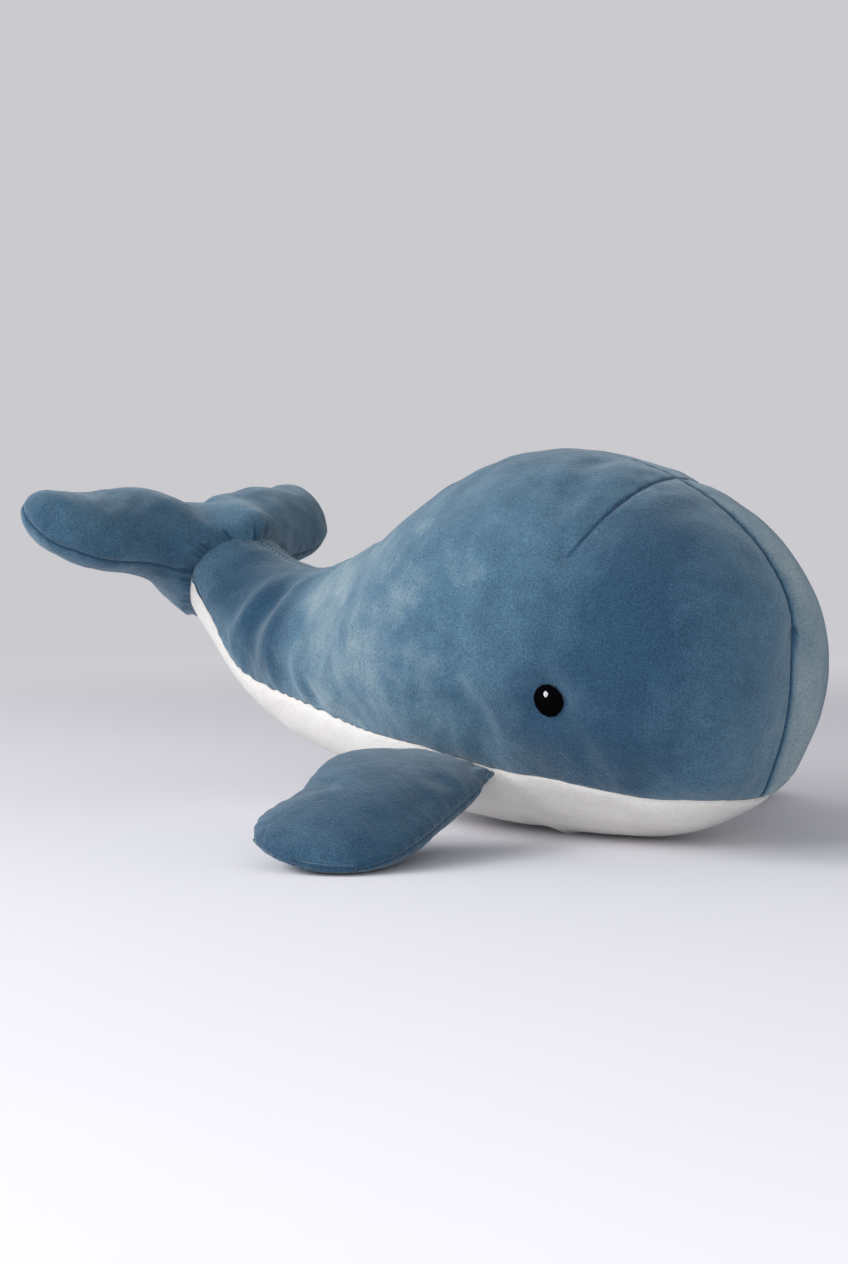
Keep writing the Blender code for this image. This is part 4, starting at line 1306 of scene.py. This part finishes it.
# %% Ride and replace
for piece, node in body_pieces:
    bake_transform(piece)
    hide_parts(node)
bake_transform(stuffing_body)
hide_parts("body_filling")
for piece in bent_threads:
    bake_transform(piece)
for piece, node in fluke_pieces + [(stuffing_fluke, "fluke_filling")]:
    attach(piece, "fluke")
    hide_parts(node)
for side, word in SIDE_NAMES.items():
    stuffing = (flippers[side]["stuffing"], "flipper_" + word + "_filling")
    for piece, node in flippers[side]["pieces"] + [stuffing]:
        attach(piece, "flipper_" + word)
        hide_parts(node)
    for piece, node in eyes[side]:
        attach(piece, "body")
        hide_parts(node)
for piece, body_name in edge_threads:
    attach(piece, body_name)

# %% [markdown]
# ## Floor, light and camera
# The toy stands on a pale sweep: near white in front, light grey behind. One large soft lamp from
# the upper left makes the shadow on the right, and an even world fills the rest.

# %% The floor
FLOOR_RADIUS = 14
CAMERA_TURN = -39.1
floor_work = bmesh.new()
bmesh.ops.create_circle(floor_work, cap_ends=True, segments=96, radius=FLOOR_RADIUS)
floor_mesh = bpy.data.meshes.new("floor")
floor_work.to_mesh(floor_mesh)
floor_work.free()
floor = add_object("floor", floor_mesh)

# how far behind the toy, in metres, and how pale the sweep is there
SWEEP = (
    (-0.64, (0.871, 0.860, 0.905)), (-0.19, (0.815, 0.803, 0.850)), (0.12, (0.735, 0.721, 0.765)),
    (0.73, (0.658, 0.645, 0.686)), (1.30, (0.597, 0.591, 0.617)),
)
BACKDROP = SWEEP[-1][1]
SWEEP_START, SWEEP_SPAN = SWEEP[0][0], SWEEP[-1][0] - SWEEP[0][0]
finish = Finish("pale floor")
turned = finish.nodes.new("ShaderNodeMapping")
set_inputs(turned, {"Rotation": (0, 0, math.radians(CAMERA_TURN))})
split = finish.nodes.new("ShaderNodeSeparateXYZ")
finish.tree.links.new(finish.spots, turned.inputs["Vector"])
finish.tree.links.new(turned.outputs["Vector"], split.inputs["Vector"])
behind_toy = finish.math("DIVIDE", finish.math("SUBTRACT", split.outputs["Y"], SWEEP_START), SWEEP_SPAN)
floor_colour = finish.ramp(behind_toy, [((far - SWEEP_START) / SWEEP_SPAN, shade) for far, shade in SWEEP])
floor_noise = finish.ramp(finish.noise(5, 3), ((0.2, [0.935] * 3), (0.8, [0.95] * 3)))
finish.paint(finish.times(floor_colour, floor_noise), {"Roughness": 0.9, "Specular IOR Level": 0.1})


# %% Far from the toy the sweep glows as plain backdrop, near it it takes the shadow
NEAR_EDGE, FAR_EDGE = 0.55, 1.25


def seen_directly(tree):
    """1 where the camera sees it, also in a mirror or through glass, and 0 where it only lights."""
    rays = tree.nodes.new("ShaderNodeLightPath").outputs
    mirrored = math_node(tree, "MAXIMUM", rays["Is Glossy Ray"], rays["Is Transmission Ray"])
    return math_node(tree, "MAXIMUM", rays["Is Camera Ray"], mirrored)


def mix_shaders(tree, share, first, second, output):
    either = tree.nodes.new("ShaderNodeMixShader")
    for socket, source in zip(either.inputs, (share, first, second)):
        tree.links.new(source, socket)
    tree.links.new(either.outputs["Shader"], tree.nodes[output].inputs["Surface"])


away = finish.nodes.new("ShaderNodeVectorMath")
away.operation = "LENGTH"
finish.tree.links.new(finish.spots, away.inputs[0])
far_off = finish.nodes.new("ShaderNodeMapRange")
far_off.interpolation_type = "SMOOTHSTEP"
set_inputs(far_off, {"From Min": NEAR_EDGE, "From Max": FAR_EDGE})
finish.tree.links.new(away.outputs["Value"], far_off.inputs["Value"])
glow = finish.nodes.new("ShaderNodeEmission")
finish.tree.links.new(floor_colour, glow.inputs["Color"])
share = finish.math("MULTIPLY", seen_directly(finish.tree), far_off.outputs["Result"])
mix_shaders(finish.tree, share, finish.shader.outputs["BSDF"], glow.outputs["Emission"], "Material Output")
floor_mesh.materials.append(finish.material)
print("sweep", len(SWEEP), "shades")

# %% The world and the lamps
world = bpy.data.worlds.new("studio")
bpy.context.scene.world = world
world.use_nodes = True
tree = world.node_tree
even = tree.nodes["Background"]
set_inputs(even, {"Color": (0.95, 0.97, 1.0, 1), "Strength": 0.47})
backdrop = tree.nodes.new("ShaderNodeBackground")
set_inputs(backdrop, {"Color": (*BACKDROP, 1), "Strength": 1})
mix_shaders(tree, seen_directly(tree), even.outputs["Background"], backdrop.outputs["Background"],
            "World Output")


def lamp(name, place, target, size, power):
    """A round soft lamp that faces a target."""
    data = bpy.data.lights.new(name, "AREA")
    data.shape = "DISK"
    data.size = size
    data.energy = power
    item = add_object(name, data)
    item.location = place
    item.rotation_mode = "QUATERNION"
    item.rotation_quaternion = (Vector(target) - Vector(place)).to_track_quat("-Z", "Y")


lamp("key", (-1.44, -1.16, 1.14), (-0.05, 0, 0.08), 1.2, 28)
lamp("front", (-0.51, -1.85, 0.98), (-0.05, 0, 0.08), 1.0, 16)
lamp("low_fill", (0.95, -1.45, 0.16), (-0.05, 0, 0.03), 1.2, 19)

# %% The camera
camera_data = bpy.data.cameras.new("camera")
camera_data.sensor_width = 36
camera_data.lens = 70.42
camera = add_object("camera", camera_data)
camera.location = (0.6728, -0.9441, 0.1604)
camera.rotation_mode = "QUATERNION"
camera.rotation_quaternion = Vector((-0.6296, 0.7748, -0.0575)).to_track_quat("-Z", "Y")
bpy.context.scene.camera = camera
bpy.context.scene.view_settings.view_transform = "Standard"
